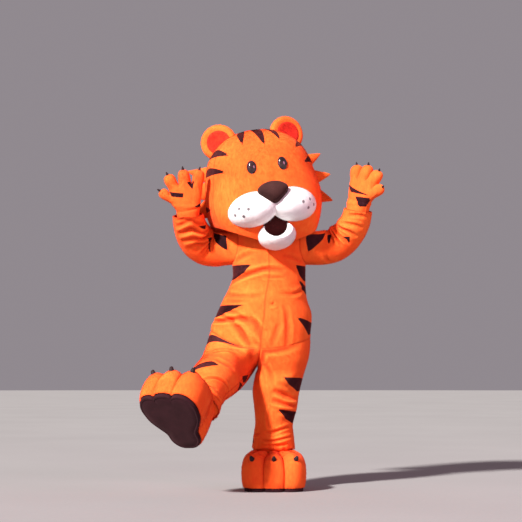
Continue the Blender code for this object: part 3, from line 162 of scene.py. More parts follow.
# Creases: depth, half width, then the points of its line, each (along, around).
TORSO_CREASES = (
    (0.016, 0.010, (0.320, 0.480), (0.345, 0.400), (0.364, 0.329), (0.381, 0.256), (0.372, 0.180)),
    (0.006, 0.006, (0.349, 0.275), (0.344, 0.230), (0.345, 0.180)),
    (0.016, 0.0075, (0.2145, 0.2225), (0.2135, 0.2205), (0.2145, 0.2185)),
    (0.009, 0.009, (0.268, 0.490), (0.251, 0.370), (0.249, 0.260)),
    (0.007, 0.008, (0.235, 0.440), (0.226, 0.360), (0.232, 0.300)),
    (0.016, 0.009, (0.105, 0.490), (0.112, 0.430), (0.139, 0.310), (0.069, 0.238)),
    (0.008, 0.007, (0.185, 0.410), (0.160, 0.340), (0.105, 0.285)),
    (0.009, 0.007, (0.165, 0.450), (0.125, 0.370), (0.065, 0.310)),
    (0.009, 0.008, (0.178, 0.320), (0.120, 0.275), (0.030, 0.240)),
    (0.007, 0.007, (0.060, 0.290), (0.030, 0.262), (0.005, 0.246)),
    (0.012, 0.010, (0.115, 0.375), (0.085, 0.334), (0.040, 0.300), (0.005, 0.270)),
    (0.010, 0.009, (0.215, 0.180), (0.140, 0.171), (0.072, 0.164), (-0.020, 0.163)),
    (0.010, 0.009, (0.110, 0.330), (0.060, 0.305), (0.010, 0.285)),
    (0.008, 0.008, (0.150, 0.345), (0.120, 0.310), (0.080, 0.270), (0.045, 0.250)),
    (0.006, 0.010, (0.440, 0.440), (0.500, 0.380), (0.530, 0.310)),
    (0.005, 0.009, (0.440, 0.070), (0.490, 0.130), (0.510, 0.190)),
    (0.007, 0.009, (0.300, 0.050), (0.262, 0.130), (0.268, 0.200)),
    (0.007, 0.008, (0.120, 0.200), (0.070, 0.205), (0.010, 0.215)),
    (0.008, 0.011, (0.330, 0.560), (0.360, 0.660), (0.350, 0.770)),
    (0.007, 0.010, (0.270, 0.950), (0.300, 0.860), (0.285, 0.770)),
    (0.005, 0.008, (0.395, 0.900), (0.380, 0.820), (0.400, 0.760)),
    (0.006, 0.009, (0.210, 0.600), (0.235, 0.680), (0.225, 0.740)),
    (0.007, 0.010, (0.100, 0.900), (0.130, 0.810), (0.090, 0.730)),
    (0.006, 0.009, (0.120, 0.600), (0.090, 0.680), (0.040, 0.730)),
    (0.005, 0.010, (0.470, 0.600), (0.520, 0.680), (0.530, 0.740)),
    (0.005, 0.010, (0.460, 0.900), (0.520, 0.820), (0.535, 0.760)),
)
STANDING_CREASES = (
    (0.015, 0.011, (0.085, 0.340), (0.048, 0.267), (0.036, 0.193), (0.006, 0.110)),
    (0.010, 0.009, (0.415, 0.270), (0.432, 0.218), (0.469, 0.117), (0.470, 0.050)),
    (0.011, 0.009, (0.500, 0.280), (0.521, 0.211), (0.543, 0.101), (0.535, 0.040)),
    (0.005, 0.006, (0.470, 0.205), (0.485, 0.160), (0.500, 0.120)),
    (0.009, 0.009, (0.590, 0.230), (0.605, 0.140), (0.595, 0.040)),
    (0.006, 0.012, (0.120, 0.340), (0.250, 0.305), (0.380, 0.275)),
    (0.005, 0.010, (0.600, 0.310), (0.700, 0.300), (0.780, 0.275)),
    (0.007, 0.007, (0.735, 0.080), (0.750, 0.151), (0.796, 0.259), (0.800, 0.330)),
    (0.008, 0.007, (0.845, 0.060), (0.863, 0.152), (0.898, 0.263), (0.890, 0.350)),
    (0.005, 0.006, (0.930, 0.130), (0.945, 0.210), (0.940, 0.300)),
    (0.006, 0.007, (0.810, 0.370), (0.840, 0.430), (0.820, 0.510)),
    (0.007, 0.008, (0.470, 0.650), (0.500, 0.740), (0.480, 0.840)),
    (0.008, 0.008, (0.550, 0.630), (0.565, 0.730), (0.545, 0.860)),
    (0.006, 0.008, (0.620, 0.680), (0.635, 0.740), (0.625, 0.800)),
    (0.006, 0.007, (0.800, 0.610), (0.820, 0.740), (0.800, 0.870)),
    (0.007, 0.007, (0.880, 0.590), (0.900, 0.720), (0.885, 0.850)),
    (0.005, 0.006, (0.940, 0.640), (0.950, 0.700), (0.945, 0.770)),
    (0.006, 0.010, (0.050, 0.610), (0.100, 0.720), (0.090, 0.830)),
)
KICKED_CREASES = (
    (0.014, 0.010, (0.090, 0.380), (0.066, 0.290), (0.047, 0.190), (0.020, 0.090)),
    (0.006, 0.009, (0.130, 0.340), (0.150, 0.260), (0.130, 0.180)),
    (0.007, 0.010, (0.330, 0.180), (0.280, 0.260), (0.220, 0.340)),
    (0.006, 0.009, (0.450, 0.230), (0.470, 0.300), (0.440, 0.390)),
    (0.008, 0.008, (0.790, 0.260), (0.699, 0.336), (0.642, 0.424), (0.620, 0.510)),
    (0.007, 0.007, (0.900, 0.280), (0.921, 0.353), (0.918, 0.419), (0.900, 0.490)),
    (0.006, 0.007, (0.840, 0.190), (0.860, 0.300), (0.830, 0.390)),
    (0.008, 0.009, (0.520, 0.590), (0.550, 0.700), (0.530, 0.820)),
    (0.008, 0.009, (0.600, 0.570), (0.630, 0.690), (0.610, 0.810)),
    (0.006, 0.008, (0.690, 0.620), (0.710, 0.690), (0.700, 0.760)),
    (0.007, 0.007, (0.800, 0.600), (0.820, 0.720), (0.800, 0.850)),
    (0.006, 0.007, (0.890, 0.620), (0.910, 0.740), (0.890, 0.870)),
    (0.007, 0.010, (0.080, 0.630), (0.130, 0.740), (0.100, 0.850)),
    (0.006, 0.010, (0.290, 0.870), (0.330, 0.930), (0.350, 0.985)),
)
RIGHT_SLEEVE_CREASES = (
    (0.006, 0.006, (0.955, 0.130), (0.975, 0.250), (0.955, 0.390)),
    (0.008, 0.007, (0.900, 0.110), (0.918, 0.177), (0.948, 0.291), (0.898, 0.390), (0.870, 0.470)),
    (0.010, 0.008, (0.820, 0.110), (0.841, 0.180), (0.868, 0.295), (0.785, 0.370), (0.740, 0.460)),
    (0.010, 0.008, (0.755, 0.130), (0.775, 0.199), (0.765, 0.293), (0.670, 0.350), (0.620, 0.430)),
    (0.007, 0.007, (0.680, 0.150), (0.690, 0.240), (0.600, 0.300), (0.540, 0.370)),
    (0.007, 0.008, (0.520, 0.190), (0.540, 0.280), (0.470, 0.360), (0.440, 0.450)),
    (0.005, 0.008, (0.330, 0.260), (0.370, 0.340), (0.360, 0.430)),
    (0.006, 0.009, (0.060, 0.130), (0.120, 0.220), (0.100, 0.330)),
    (0.007, 0.008, (0.450, 0.610), (0.480, 0.720), (0.460, 0.850)),
    (0.006, 0.008, (0.600, 0.590), (0.620, 0.720), (0.600, 0.830)),
    (0.006, 0.007, (0.760, 0.610), (0.780, 0.740), (0.760, 0.870)),
    (0.006, 0.006, (0.900, 0.590), (0.920, 0.720), (0.900, 0.850)),
    (0.006, 0.009, (0.080, 0.610), (0.130, 0.700), (0.120, 0.780)),
)
LEFT_SLEEVE_CREASES = (
    (0.006, 0.009, (0.070, 0.120), (0.110, 0.210), (0.090, 0.330)),
    (0.006, 0.008, (0.420, 0.250), (0.444, 0.330), (0.430, 0.450)),
    (0.008, 0.008, (0.530, 0.220), (0.550, 0.330), (0.520, 0.470)),
    (0.007, 0.007, (0.625, 0.200), (0.615, 0.321), (0.590, 0.460)),
    (0.008, 0.007, (0.720, 0.180), (0.740, 0.300), (0.690, 0.440)),
    (0.007, 0.007, (0.820, 0.170), (0.835, 0.290), (0.800, 0.430)),
    (0.006, 0.006, (0.930, 0.140), (0.945, 0.260), (0.920, 0.400)),
    (0.005, 0.008, (0.290, 0.180), (0.310, 0.120), (0.350, 0.070)),
    (0.007, 0.008, (0.430, 0.620), (0.450, 0.730), (0.440, 0.840)),
    (0.006, 0.008, (0.580, 0.600), (0.600, 0.710), (0.570, 0.830)),
    (0.006, 0.007, (0.740, 0.610), (0.760, 0.730), (0.750, 0.860)),
    (0.006, 0.006, (0.890, 0.600), (0.910, 0.720), (0.890, 0.840)),
    (0.006, 0.009, (0.090, 0.620), (0.140, 0.710), (0.120, 0.790)),
)

# Stripes: the corners of each, as (along, around) on its part of the suit.
TORSO_STRIPES = (
    ((0.405, 0.500), (0.403, 0.397), (0.402, 0.329), (0.370, 0.363), (0.340, 0.450),
     (0.335, 0.500), (0.360, 0.600)),
    ((0.135, 0.500), (0.140, 0.448), (0.169, 0.401), (0.207, 0.332), (0.206, 0.470),
     (0.200, 0.520), (0.170, 0.590)),
    ((0.402, 0.122), (0.400, 0.020), (0.370, -0.080), (0.332, 0.020), (0.335, 0.060),
     (0.356, 0.093)),
    ((0.335, 0.103), (0.311, 0.053), (0.290, -0.040), (0.265, 0.030), (0.285, 0.065)),
    ((0.148, 0.132), (0.113, 0.042), (0.100, -0.060), (0.045, -0.010), (0.035, 0.050)),
    ((0.515, 0.690), (0.500, 0.755), (0.480, 0.815), (0.475, 0.740)),
    ((0.330, 0.680), (0.315, 0.750), (0.325, 0.830), (0.280, 0.755)),
    ((0.235, 0.980), (0.225, 0.900), (0.245, 0.830), (0.195, 0.900)),
    ((0.255, 0.620), (0.245, 0.690), (0.215, 0.655)),
    ((0.130, 0.690), (0.110, 0.750), (0.125, 0.830), (0.070, 0.760)),
)
STANDING_STRIPES = (
    ((0.309, 0.208), (0.311, 0.090), (0.320, 0.000), (0.350, -0.090), (0.400, 0.000),
     (0.408, 0.071), (0.358, 0.168)),
    ((0.581, 0.229), (0.593, 0.073), (0.600, 0.000), (0.640, -0.090), (0.690, 0.000),
     (0.702, 0.052), (0.654, 0.156)),
    ((0.170, -0.150), (0.190, -0.240), (0.160, -0.340), (0.230, -0.250)),
    ((0.450, -0.170), (0.480, -0.260), (0.450, -0.350), (0.520, -0.255)),
    ((0.760, -0.150), (0.790, -0.240), (0.770, -0.340), (0.840, -0.250)),
    ((0.900, 0.560), (0.880, 0.480), (0.930, 0.440)),
)
KICKED_STRIPES = (
    ((0.118, 0.020), (0.082, 0.090), (0.052, 0.140), (0.018, 0.200), (0.006, 0.160),
     (0.022, 0.080), (0.060, 0.000), (0.110, -0.090)),
    ((0.640, 0.110), (0.610, 0.190), (0.575, 0.240), (0.524, 0.291), (0.500, 0.230),
     (0.520, 0.165), (0.550, 0.060), (0.620, -0.030)),
    ((0.330, 0.480), (0.180, 0.520), (0.220, 0.560), (0.300, 0.535)),
    ((0.400, 0.500), (0.300, 0.560), (0.330, 0.600), (0.400, 0.560)),
    ((0.300, 0.660), (0.330, 0.740), (0.310, 0.830), (0.380, 0.745)),
    ((0.640, 0.640), (0.670, 0.720), (0.650, 0.800), (0.720, 0.725)),
)
RIGHT_SLEEVE_STRIPES = (
    ((0.440, 0.420), (0.240, 0.400), (0.146, 0.368), (0.130, 0.215), (0.190, 0.250),
     (0.300, 0.330)),
    ((0.620, 0.360), (0.560, 0.330), (0.373, 0.225), (0.470, 0.320), (0.560, 0.370)),
    ((0.875, 0.380), (0.810, 0.420), (0.835, 0.480)),
    ((0.180, 0.620), (0.200, 0.720), (0.180, 0.820), (0.270, 0.725)),
    ((0.480, 0.620), (0.500, 0.700), (0.480, 0.790), (0.570, 0.705)),
    ((0.780, 0.640), (0.790, 0.730), (0.780, 0.820), (0.850, 0.735)),
)
LEFT_SLEEVE_STRIPES = (
    ((0.080, 0.380), (0.326, 0.406), (0.260, 0.330), (0.102, 0.190), (0.085, 0.280)),
    ((0.360, 0.379), (0.460, 0.390), (0.345, 0.283), (0.340, 0.330)),
    ((0.620, 0.200), (0.650, 0.250), (0.640, 0.300), (0.690, 0.250)),
    ((0.200, 0.620), (0.220, 0.720), (0.200, 0.820), (0.290, 0.725)),
    ((0.480, 0.620), (0.500, 0.700), (0.480, 0.780), (0.570, 0.705)),
    ((0.780, 0.640), (0.790, 0.730), (0.780, 0.820), (0.850, 0.735)),
)

# Colours as the plush has them in even light, except the inner ear's and the folds' colours, which
# hold painted shade and highlight.
ORANGE = (0.93, 0.122, 0.020)
ORANGE_DEEP = (0.88, 0.086, 0.017)
ORANGE_LIGHT = (0.96, 0.190, 0.032)
# The inner ear's own redder tone, darkened with painted shade of the ear's dish.
INNER_EAR_RED_PAINTED_SHADE = (0.50, 0.020, 0.014)
# Painted shade in the troughs of creases and seams, and painted highlight on the crease lips, not
# the plush's own colour.
FOLD_PAINTED_SHADE = (0.62, 0.034, 0.010)
FOLD_PAINTED_HIGHLIGHT = (0.97, 0.235, 0.040)
WHITE = (0.84, 0.82, 0.82)
# Marks in the pile: their own shades from the deepest to the lightest.
STRIPE_PILE = ((0.36, (0.008, 0.002, 0.004)), (0.50, (0.022, 0.006, 0.009)),
               (0.66, (0.055, 0.018, 0.022)))
WHISKER = ((0.36, (0.13, 0.105, 0.115)), (0.50, (0.19, 0.165, 0.175)), (0.66, (0.40, 0.37, 0.38)))


def unit(vectors):
    return vectors / np.maximum(np.linalg.norm(vectors, axis=-1, keepdims=True), 1e-12)


def smooth(t):
    t = np.clip(t, 0.0, 1.0)
    return t * t * (3.0 - 2.0 * t)


def curve(table, shares):
    """A table's columns at shares of its length, on a smooth curve through its rows."""
    rows = np.array(table, float)
    if rows.ndim == 1:
        rows = rows[:, None]
    place = np.clip(np.asarray(shares, float), 0.0, 1.0) * (len(rows) - 1)
    first = np.minimum(place.astype(int), len(rows) - 2)
    t = (place - first)[..., None]
    before, here = rows[np.maximum(first - 1, 0)], rows[first]
    there, after = rows[first + 1], rows[np.minimum(first + 2, len(rows) - 1)]
    return (here * (2 * t**3 - 3 * t**2 + 1) + (there - before) / 2 * (t**3 - 2 * t**2 + t)
            + there * (3 * t**2 - 2 * t**3) + (after - here) / 2 * (t**3 - t**2))


def fold_height(folds, along, around):
    total = np.zeros(np.broadcast(along, around).shape)
    for place, middle, reach, spread, slope, bow, height in folds:
        turn = (around - middle + 0.5) % 1.0 - 0.5
        off = along - place - slope * turn - bow * turn**2
        fade = np.maximum(0.0, 1.0 - (turn / spread) ** 2) ** 2
        total += height * fade * np.exp(-((off / reach) ** 2))
    return total


def spaced(steps, ends=0.010):
    """Shares from 0 to 1, with two close ones at each end for a seam's groove."""
    inner = np.linspace(0.0, 1.0, steps + 1)
    inner = inner[(inner > 3.4 * ends) & (inner < 1 - 3.4 * ends)]
    return np.concatenate([[0.0, ends, 2.6 * ends], inner, [1 - 2.6 * ends, 1 - ends, 1.0]])


# Materials.


def new_material(name):
    made = bpy.data.materials.new(name)
    made.use_nodes = True
    return made, made.node_tree, made.node_tree.nodes["Principled BSDF"]


def node(tree, kind, inputs=None, **settings):
    made = tree.nodes.new(kind)
    for key, value in settings.items():
        setattr(made, key, value)
    for key, value in (inputs or {}).items():
        if isinstance(value, bpy.types.NodeSocket):
            tree.links.new(value, made.inputs[key])
        else:
            made.inputs[key].default_value = value
    return made


def calc(tree, operation, first, second=0.0, third=0.0):
    return node(tree, "ShaderNodeMath", {0: first, 1: second, 2: third},
                operation=operation).outputs[0]


def noise(tree, place, scale, detail=2.0, stretch=None, roughness=0.5):
    if stretch:
        place = node(tree, "ShaderNodeMapping", {"Vector": place, "Scale": stretch}).outputs[0]
    inputs = {"Vector": place, "Scale": scale, "Detail": detail, "Roughness": roughness}
    return node(tree, "ShaderNodeTexNoise", inputs).outputs["Fac"]


def ramp(tree, value, stops):
    made = node(tree, "ShaderNodeValToRGB", {"Fac": value})
    band = made.color_ramp
    while len(band.elements) < len(stops):
        band.elements.new(0.5)
    for element, (place, colour) in zip(band.elements, stops):
        element.position = place
        element.color = (*colour, 1.0)
    return made.outputs["Color"]


def mix(tree, factor, first, second):
    made = node(tree, "ShaderNodeMix", data_type="RGBA")
    for key, value in ((0, factor), (6, first), (7, second)):
        if isinstance(value, bpy.types.NodeSocket):
            tree.links.new(value, made.inputs[key])
        else:
            made.inputs[key].default_value = value if key == 0 else (*value, 1.0)
    return made.outputs[2]


def bump(tree, shader, height, distance, strength):
    made = node(tree, "ShaderNodeBump", {"Height": height, "Distance": distance,
                                         "Strength": strength})
    tree.links.new(made.outputs[0], shader.inputs["Normal"])


def plush_material(name, deep, middle, light, sheen, sheen_tint, marks=None):
    """Short pile: patches where the nap lies another way, streaks along it, and its tips."""
    material, tree, shader = new_material(name)
    place = node(tree, "ShaderNodeTexCoord").outputs["Object"]
    patches = noise(tree, place, 6.0, 3.0)
    streaks = noise(tree, place, 70.0, 3.0, stretch=(1.0, 1.0, 0.5))
    tips = noise(tree, place, 520.0, 2.0)
    mottle = calc(tree, "MULTIPLY_ADD", patches, 0.50, calc(tree, "MULTIPLY", streaks, 0.22))
    mottle = calc(tree, "MULTIPLY_ADD", tips, 0.28, mottle)
    colour = ramp(tree, mottle, ((0.36, deep), (0.50, middle), (0.64, light)))
    if marks:
        stripe = node(tree, "ShaderNodeAttribute", attribute_name="stripe").outputs["Fac"]
        ragged = calc(tree, "MULTIPLY_ADD", noise(tree, place, 330.0, 2.0), 0.0036, -0.0018)
        edge = calc(tree, "ADD", stripe, ragged)
        inside = node(tree, "ShaderNodeMapRange",
                      {"Value": edge, "From Min": 0.0009, "From Max": -0.0009}).outputs[0]
        # The fold attribute paints shade into crease troughs and seam grooves, and a highlight onto
        # the crease lips.
        fold = node(tree, "ShaderNodeAttribute", attribute_name="fold").outputs["Fac"]
        painted_shade = node(tree, "ShaderNodeMapRange",
                       {"Value": fold, "From Max": -0.011, "To Max": 0.75}).outputs[0]
        painted_highlight = node(tree, "ShaderNodeMapRange",
                      {"Value": fold, "From Max": 0.007, "To Max": 0.55}).outputs[0]
        colour = mix(tree, painted_shade, colour, FOLD_PAINTED_SHADE)
        colour = mix(tree, painted_highlight, colour, FOLD_PAINTED_HIGHLIGHT)
        colour = mix(tree, inside, colour, ramp(tree, mottle, marks))
    tree.links.new(colour, shader.inputs["Base Color"])
    shader.inputs["Roughness"].default_value = 0.92
    shader.inputs["Specular IOR Level"].default_value = 0.05
    shader.inputs["Sheen Weight"].default_value = sheen
    shader.inputs["Sheen Roughness"].default_value = 0.45
    shader.inputs["Sheen Tint"].default_value = (*sheen_tint, 1.0)
    height = calc(tree, "MULTIPLY_ADD", tips, 0.6, calc(tree, "MULTIPLY", streaks, 0.8))
    bump(tree, shader, height, 0.0022, 0.55)
    return material


def felt_material(name, dark, light, roughness=0.85, scale=420.0):
    material, tree, shader = new_material(name)
    place = node(tree, "ShaderNodeTexCoord").outputs["Object"]
    fibres = noise(tree, place, scale, 4.0, roughness=0.65)
    patches = noise(tree, place, 14.0, 3.0)
    value = calc(tree, "MULTIPLY_ADD", patches, 0.5, calc(tree, "MULTIPLY", fibres, 0.5))
    colour = ramp(tree, value, ((0.36, dark), (0.66, light)))
    tree.links.new(colour, shader.inputs["Base Color"])
    shader.inputs["Roughness"].default_value = roughness
    shader.inputs["Specular IOR Level"].default_value = 0.12
    shader.inputs["Sheen Weight"].default_value = 0.08
    shader.inputs["Sheen Roughness"].default_value = 0.4
    shader.inputs["Sheen Tint"].default_value = (1.0, 0.5, 0.5, 1.0)
    bump(tree, shader, fibres, 0.0010, 0.5)
    return material


def eye_material():
    material, tree, shader = new_material("eye_gloss")
    place = node(tree, "ShaderNodeTexCoord").outputs["Object"]
    depth = noise(tree, place, 40.0, 2.0)
    colour = ramp(tree, depth, ((0.35, (0.010, 0.004, 0.006)), (0.70, (0.045, 0.016, 0.018))))
    tree.links.new(colour, shader.inputs["Base Color"])
    scuffs = noise(tree, place, 900.0, 3.0)
    rough = node(tree, "ShaderNodeMapRange", {"Value": scuffs, "To Min": 0.08, "To Max": 0.20})
    tree.links.new(rough.outputs[0], shader.inputs["Roughness"])
    shader.inputs["Coat Weight"].default_value = 0.7
    shader.inputs["Coat Roughness"].default_value = 0.04
    return material


def gauze_material():
    """Black open weave: threads both ways, with darker gaps between them."""
    material, tree, shader = new_material("mouth_gauze_weave")
    place = node(tree, "ShaderNodeTexCoord").outputs["Object"]
    parts = node(tree, "ShaderNodeSeparateXYZ", {"Vector": place}).outputs
    waves = [calc(tree, "ABSOLUTE", calc(tree, "SINE", calc(tree, "MULTIPLY", axis, 1800.0)))
             for axis in (parts["X"], parts["Z"])]
    thread = calc(tree, "MAXIMUM", waves[0], waves[1])
    colour = ramp(tree, thread, ((0.45, (0.006, 0.001, 0.001)), (0.95, (0.045, 0.008, 0.008))))
    tree.links.new(colour, shader.inputs["Base Color"])
    shader.inputs["Roughness"].default_value = 0.9
    shader.inputs["Specular IOR Level"].default_value = 0.05
    bump(tree, shader, thread, 0.0008, 0.6)
    return material


def floor_material():
    material, tree, shader = new_material("floor_paper")
    place = node(tree, "ShaderNodeTexCoord").outputs["Object"]
    grain = calc(tree, "MULTIPLY_ADD", noise(tree, place, 0.7, 3.0), 0.6,
                 calc(tree, "MULTIPLY", noise(tree, place, 60.0, 3.0), 0.4))
    colour = ramp(tree, grain, ((0.30, (0.275, 0.262, 0.264)), (0.70, (0.305, 0.291, 0.293))))
    tree.links.new(colour, shader.inputs["Base Color"])
    shader.inputs["Roughness"].default_value = 0.95
    shader.inputs["Specular IOR Level"].default_value = 0.08
    return material


# Mesh building.


coats = {}


def remember(coat, points, triangles, normals, stripe, nap):
    """Keeps an outer surface, so that its pile can be set on it at the end."""
    coats.setdefault(coat, []).append((points, triangles, normals, stripe, nap))


def add_object(name, points, faces, material, normals=None, attributes=None):
    mesh = bpy.data.meshes.new(name)
    mesh.from_pydata([tuple(p) for p in points], [], [tuple(f) for f in faces])
    mesh.validate()
    for key, values in (attributes or {}).items():
        layer = mesh.attributes.new(key, "FLOAT", "POINT")
        layer.data.foreach_set("value", np.asarray(values, np.float32))
    mesh.materials.append(material)
    mesh.shade_smooth()
    if normals is not None:
        mesh.normals_split_custom_set_from_vertices([tuple(n) for n in normals])
    made = bpy.data.objects.new(name, mesh)
    bpy.context.scene.collection.objects.link(made)
    return made


class SharedNormals:
    """One normal for each place, however many panels meet there."""

    def __init__(self):
        self.sums = {}

    @staticmethod
    def keys(points):
        return [tuple(p) for p in np.round(points.reshape(-1, 3), 5)]

    def add(self, points, normals):
        for key, normal in zip(self.keys(points), normals.reshape(-1, 3)):
            self.sums[key] = self.sums.get(key, 0.0) + normal

    def of(self, points):
        return unit(np.array([self.sums[k] for k in self.keys(points)])).reshape(points.shape)


def grid_normals(grid):
    return unit(np.cross(np.gradient(grid, axis=0), np.gradient(grid, axis=1)))


def outward(grid, normals, centre):
    return -normals if (normals * (grid - centre)).sum() < 0 else normals


def closed_normals(rings):
    wrapped = np.concatenate([rings[:, -2:-1], rings, rings[:, 1:2]], axis=1)
    normals = grid_normals(wrapped)[:, 1:-1]
    return outward(rings, normals, rings.mean(axis=1, keepdims=True))


def grid_faces(rows, columns):
    index = np.arange(rows * columns).reshape(rows, columns)
    return np.stack([index[:-1, :-1], index[:-1, 1:], index[1:, 1:], index[1:, :-1]],
                    axis=-1).reshape(-1, 4)


def edge_distance(grid):
    """How far each point is from the panel's nearest edge, along the cloth."""
    across = np.cumsum(np.linalg.norm(np.diff(grid, axis=1, prepend=grid[:, :1]), axis=-1), 1)
    down = np.cumsum(np.linalg.norm(np.diff(grid, axis=0, prepend=grid[:1]), axis=-1), 0)
    return np.minimum.reduce([across, across[:, -1:] - across, down, down[-1:] - down])


def wall(name, grid, normals, thickness, material, fold, stripe, groove=0.0016):
    """A panel as a thin shell: outer and inner grids and a rim, with a groove at its seams."""
    rows, columns = grid.shape[:2]
    near = edge_distance(grid)
    outer = grid - (groove * np.exp(-((near / 0.0042) ** 2)))[..., None] * normals
    pulled = outer.copy()
    pulled[0] += SEAM * unit(outer[1] - outer[0])
    pulled[-1] += SEAM * unit(outer[-2] - outer[-1])
    pulled[:, 0] += SEAM * unit(outer[:, 1] - outer[:, 0])
    pulled[:, -1] += SEAM * unit(outer[:, -2] - outer[:, -1])
    inner = pulled - thickness * normals
    points = np.concatenate([pulled.reshape(-1, 3), inner.reshape(-1, 3)])
    faces = grid_faces(rows, columns)
    across, down = grid[:, 1:] - grid[:, :-1], grid[1:] - grid[:-1]
    facing = (np.cross(across[:-1], down[:, :-1]) * normals[:-1, :-1]).sum()
    if facing < 0:
        faces = faces[:, ::-1]
    count = rows * columns
    rim = [(0, j) for j in range(columns)] + [(i, columns - 1) for i in range(1, rows)]
    rim += [(rows - 1, j) for j in range(columns - 2, -1, -1)]
    rim += [(i, 0) for i in range(rows - 2, 0, -1)]
    rim = np.array([i * columns + j for i, j in rim])
    after = np.roll(rim, -1)
    band = np.stack([after, rim, rim + count, after + count], axis=-1)
    if facing < 0:
        band = band[:, ::-1]
    everything = np.concatenate([faces, faces[:, ::-1] + count, band])
    ways = np.concatenate([normals.reshape(-1, 3), -normals.reshape(-1, 3)])
    # Painted shade along the seam grooves, added into the fold attribute that paints crease shade
    # and highlight.
    fold = fold - SEAM_PAINTED_SHADE * np.exp(-((near / 0.0040) ** 2))
    values = {"stripe": np.tile(np.broadcast_to(stripe, (rows, columns)).ravel(), 2),
              "fold": np.tile(fold.ravel(), 2)}
    made = add_object(name, points, everything, material, ways, values)
    triangles = np.concatenate([faces[:, [0, 1, 2]], faces[:, [0, 2, 3]]])
    return made, pulled.reshape(-1, 3), triangles


def crease_height(flat, creases, metric, girth):
    """Troughs with soft lips on both sides, along lines on the unrolled cloth."""
    total = np.zeros(flat.shape[:-1])
    for depth, half_width, *line in creases:
        fine = metric(*curve(line, np.linspace(0.0, 1.0, 6 * (len(line) - 1) + 1)).T)
        nearest, fade = np.full(total.shape, 1.0), np.zeros(total.shape)
        middle = fine[:, 1].mean()
        place = flat.copy()
        place[..., 1] = (place[..., 1] - middle + girth / 2) % girth - girth / 2 + middle
        for k, (a, b) in enumerate(zip(fine, fine[1:])):
            run = b - a
            share = np.clip(((place - a) @ run) / (run @ run), 0.0, 1.0)
            away = np.linalg.norm(place - a - share[..., None] * run, axis=-1)
            closer = away < nearest
            nearest = np.where(closer, away, nearest)
            fade = np.where(closer, np.sin(math.pi * (k + share) / (len(fine) - 1)), fade)
        reach = nearest / half_width
        shape = 0.5 * np.exp(-1.2 * (reach - 2.1) ** 2) - np.exp(-(reach**2))
        total += depth * shape * np.maximum(fade, 0.0) ** 0.7
    return total


def wedge_distance(flat, wedges, metric, girth):
    """Signed distance in metres to the nearest stripe, less than 0 inside one."""
    nearest = np.full(flat.shape[:-1], 0.05)
    for wedge in wedges:
        corners = metric(*np.array(wedge).T)
        middle = corners[:, 1].mean()
        place = flat.copy()
        place[..., 1] = (place[..., 1] - middle + girth / 2) % girth - girth / 2 + middle
        away = np.full(nearest.shape, 1.0)
        inside = np.zeros(nearest.shape, bool)
        for a, b in zip(corners, np.roll(corners, -1, axis=0)):
            run = b - a
            share = np.clip(((place - a) @ run) / max(run @ run, 1e-12), 0.0, 1.0)
            away = np.minimum(away, np.linalg.norm(place - a - share[..., None] * run, axis=-1))
            crosses = (a[0] > place[..., 0]) != (b[0] > place[..., 0])
            height = b[0] - a[0] if abs(b[0] - a[0]) > 1e-9 else 1e-9
            at = a[1] + (place[..., 0] - a[0]) * run[1] / height
            inside ^= crosses & (place[..., 1] < at)
        nearest = np.minimum(nearest, np.where(inside, -away, away) - 0.0015)
    return nearest


def stripe_distance(points, spines):
    """Signed distance in metres to the nearest stripe, less than 0 inside one.

    Each spine is rows of x, y, z and half width, on a smooth curve through them."""
    shape = points.shape[:-1]
    flat = points.reshape(-1, 3)
    nearest = np.full(len(flat), 0.05)
    for spine in spines:
        fine = curve(spine, np.linspace(0.0, 1.0, 8 * (len(spine) - 1) + 1))
        for (a, b) in zip(fine, fine[1:]):
            run = b[:3] - a[:3]
            share = np.clip((flat - a[:3]) @ run / max(run @ run, 1e-12), 0.0, 1.0)
            away = np.linalg.norm(flat - a[:3] - share[:, None] * run, axis=1)
            nearest = np.minimum(nearest, away - (a[3] + share * (b[3] - a[3])))
    return nearest.reshape(shape)


# Jumpsuit.


QUARTER = spaced(34)
TORSO_ROWS = np.unique(np.round(np.concatenate(
    [np.arange(0, 6 * 17 + 1) / 6, (0.07, UNDERARM_ROW + 0.08, SHOULDER_ROW - 0.08, 16.93)]), 4))
ARM_ROWS = TORSO_ROWS[(TORSO_ROWS >= UNDERARM_ROW) & (TORSO_ROWS <= SHOULDER_ROW)]
TORSO_GIRTH = 1.12


def torso_metric(along, around):
    """The torso's cloth unrolled: metres up it and metres round it."""
    return np.stack([curve(TORSO, along)[..., 0], TORSO_GIRTH * around], axis=-1)


def torso_surface(rows, angles):
    """Points of the torso: angle 0 is the wearer's left side, a quarter turn is the front."""
    along, around = np.broadcast_arrays(rows / (len(TORSO) - 1), angles / TAU)
    z, centre, width, front, back, dip, lift = np.moveaxis(curve(TORSO, along), -1, 0)
    height = fold_height(TORSO_FOLDS, along, around)
    height = height + crease_height(torso_metric(along, around), TORSO_CREASES, torso_metric,
                                    TORSO_GIRTH)
    swell = 1.0 + height / width
    depth = np.where(np.sin(angles) > 0, front, back)
    x = centre + swell * width * np.cos(angles)
    y = -swell * depth * np.sin(angles)
    z = z - dip * np.sin(angles) ** 2 + lift * np.maximum(0.0, -np.cos(angles)) ** 2
    return np.stack([x, y, z + 0.0 * x], axis=-1)


def armhole_cut(rows):
    share = (rows - UNDERARM_ROW) / (SHOULDER_ROW - UNDERARM_ROW)
    inside = (share > 0) & (share < 1)
    return np.where(inside, np.maximum(curve(ARMHOLE, share)[..., 0], 0.0), 0.0)


def torso_quarter(side, front):
    centre = math.pi / 2 if front else 3 * math.pi / 2
    base = {(1, True): 0.0, (1, False): TAU}.get((side, front), math.pi)
    edge = base + math.copysign(1.0, centre - base) * armhole_cut(TORSO_ROWS)
    angles = edge[:, None] + (centre - edge)[:, None] * QUARTER
    return TORSO_ROWS[:, None] + 0.0 * angles, angles


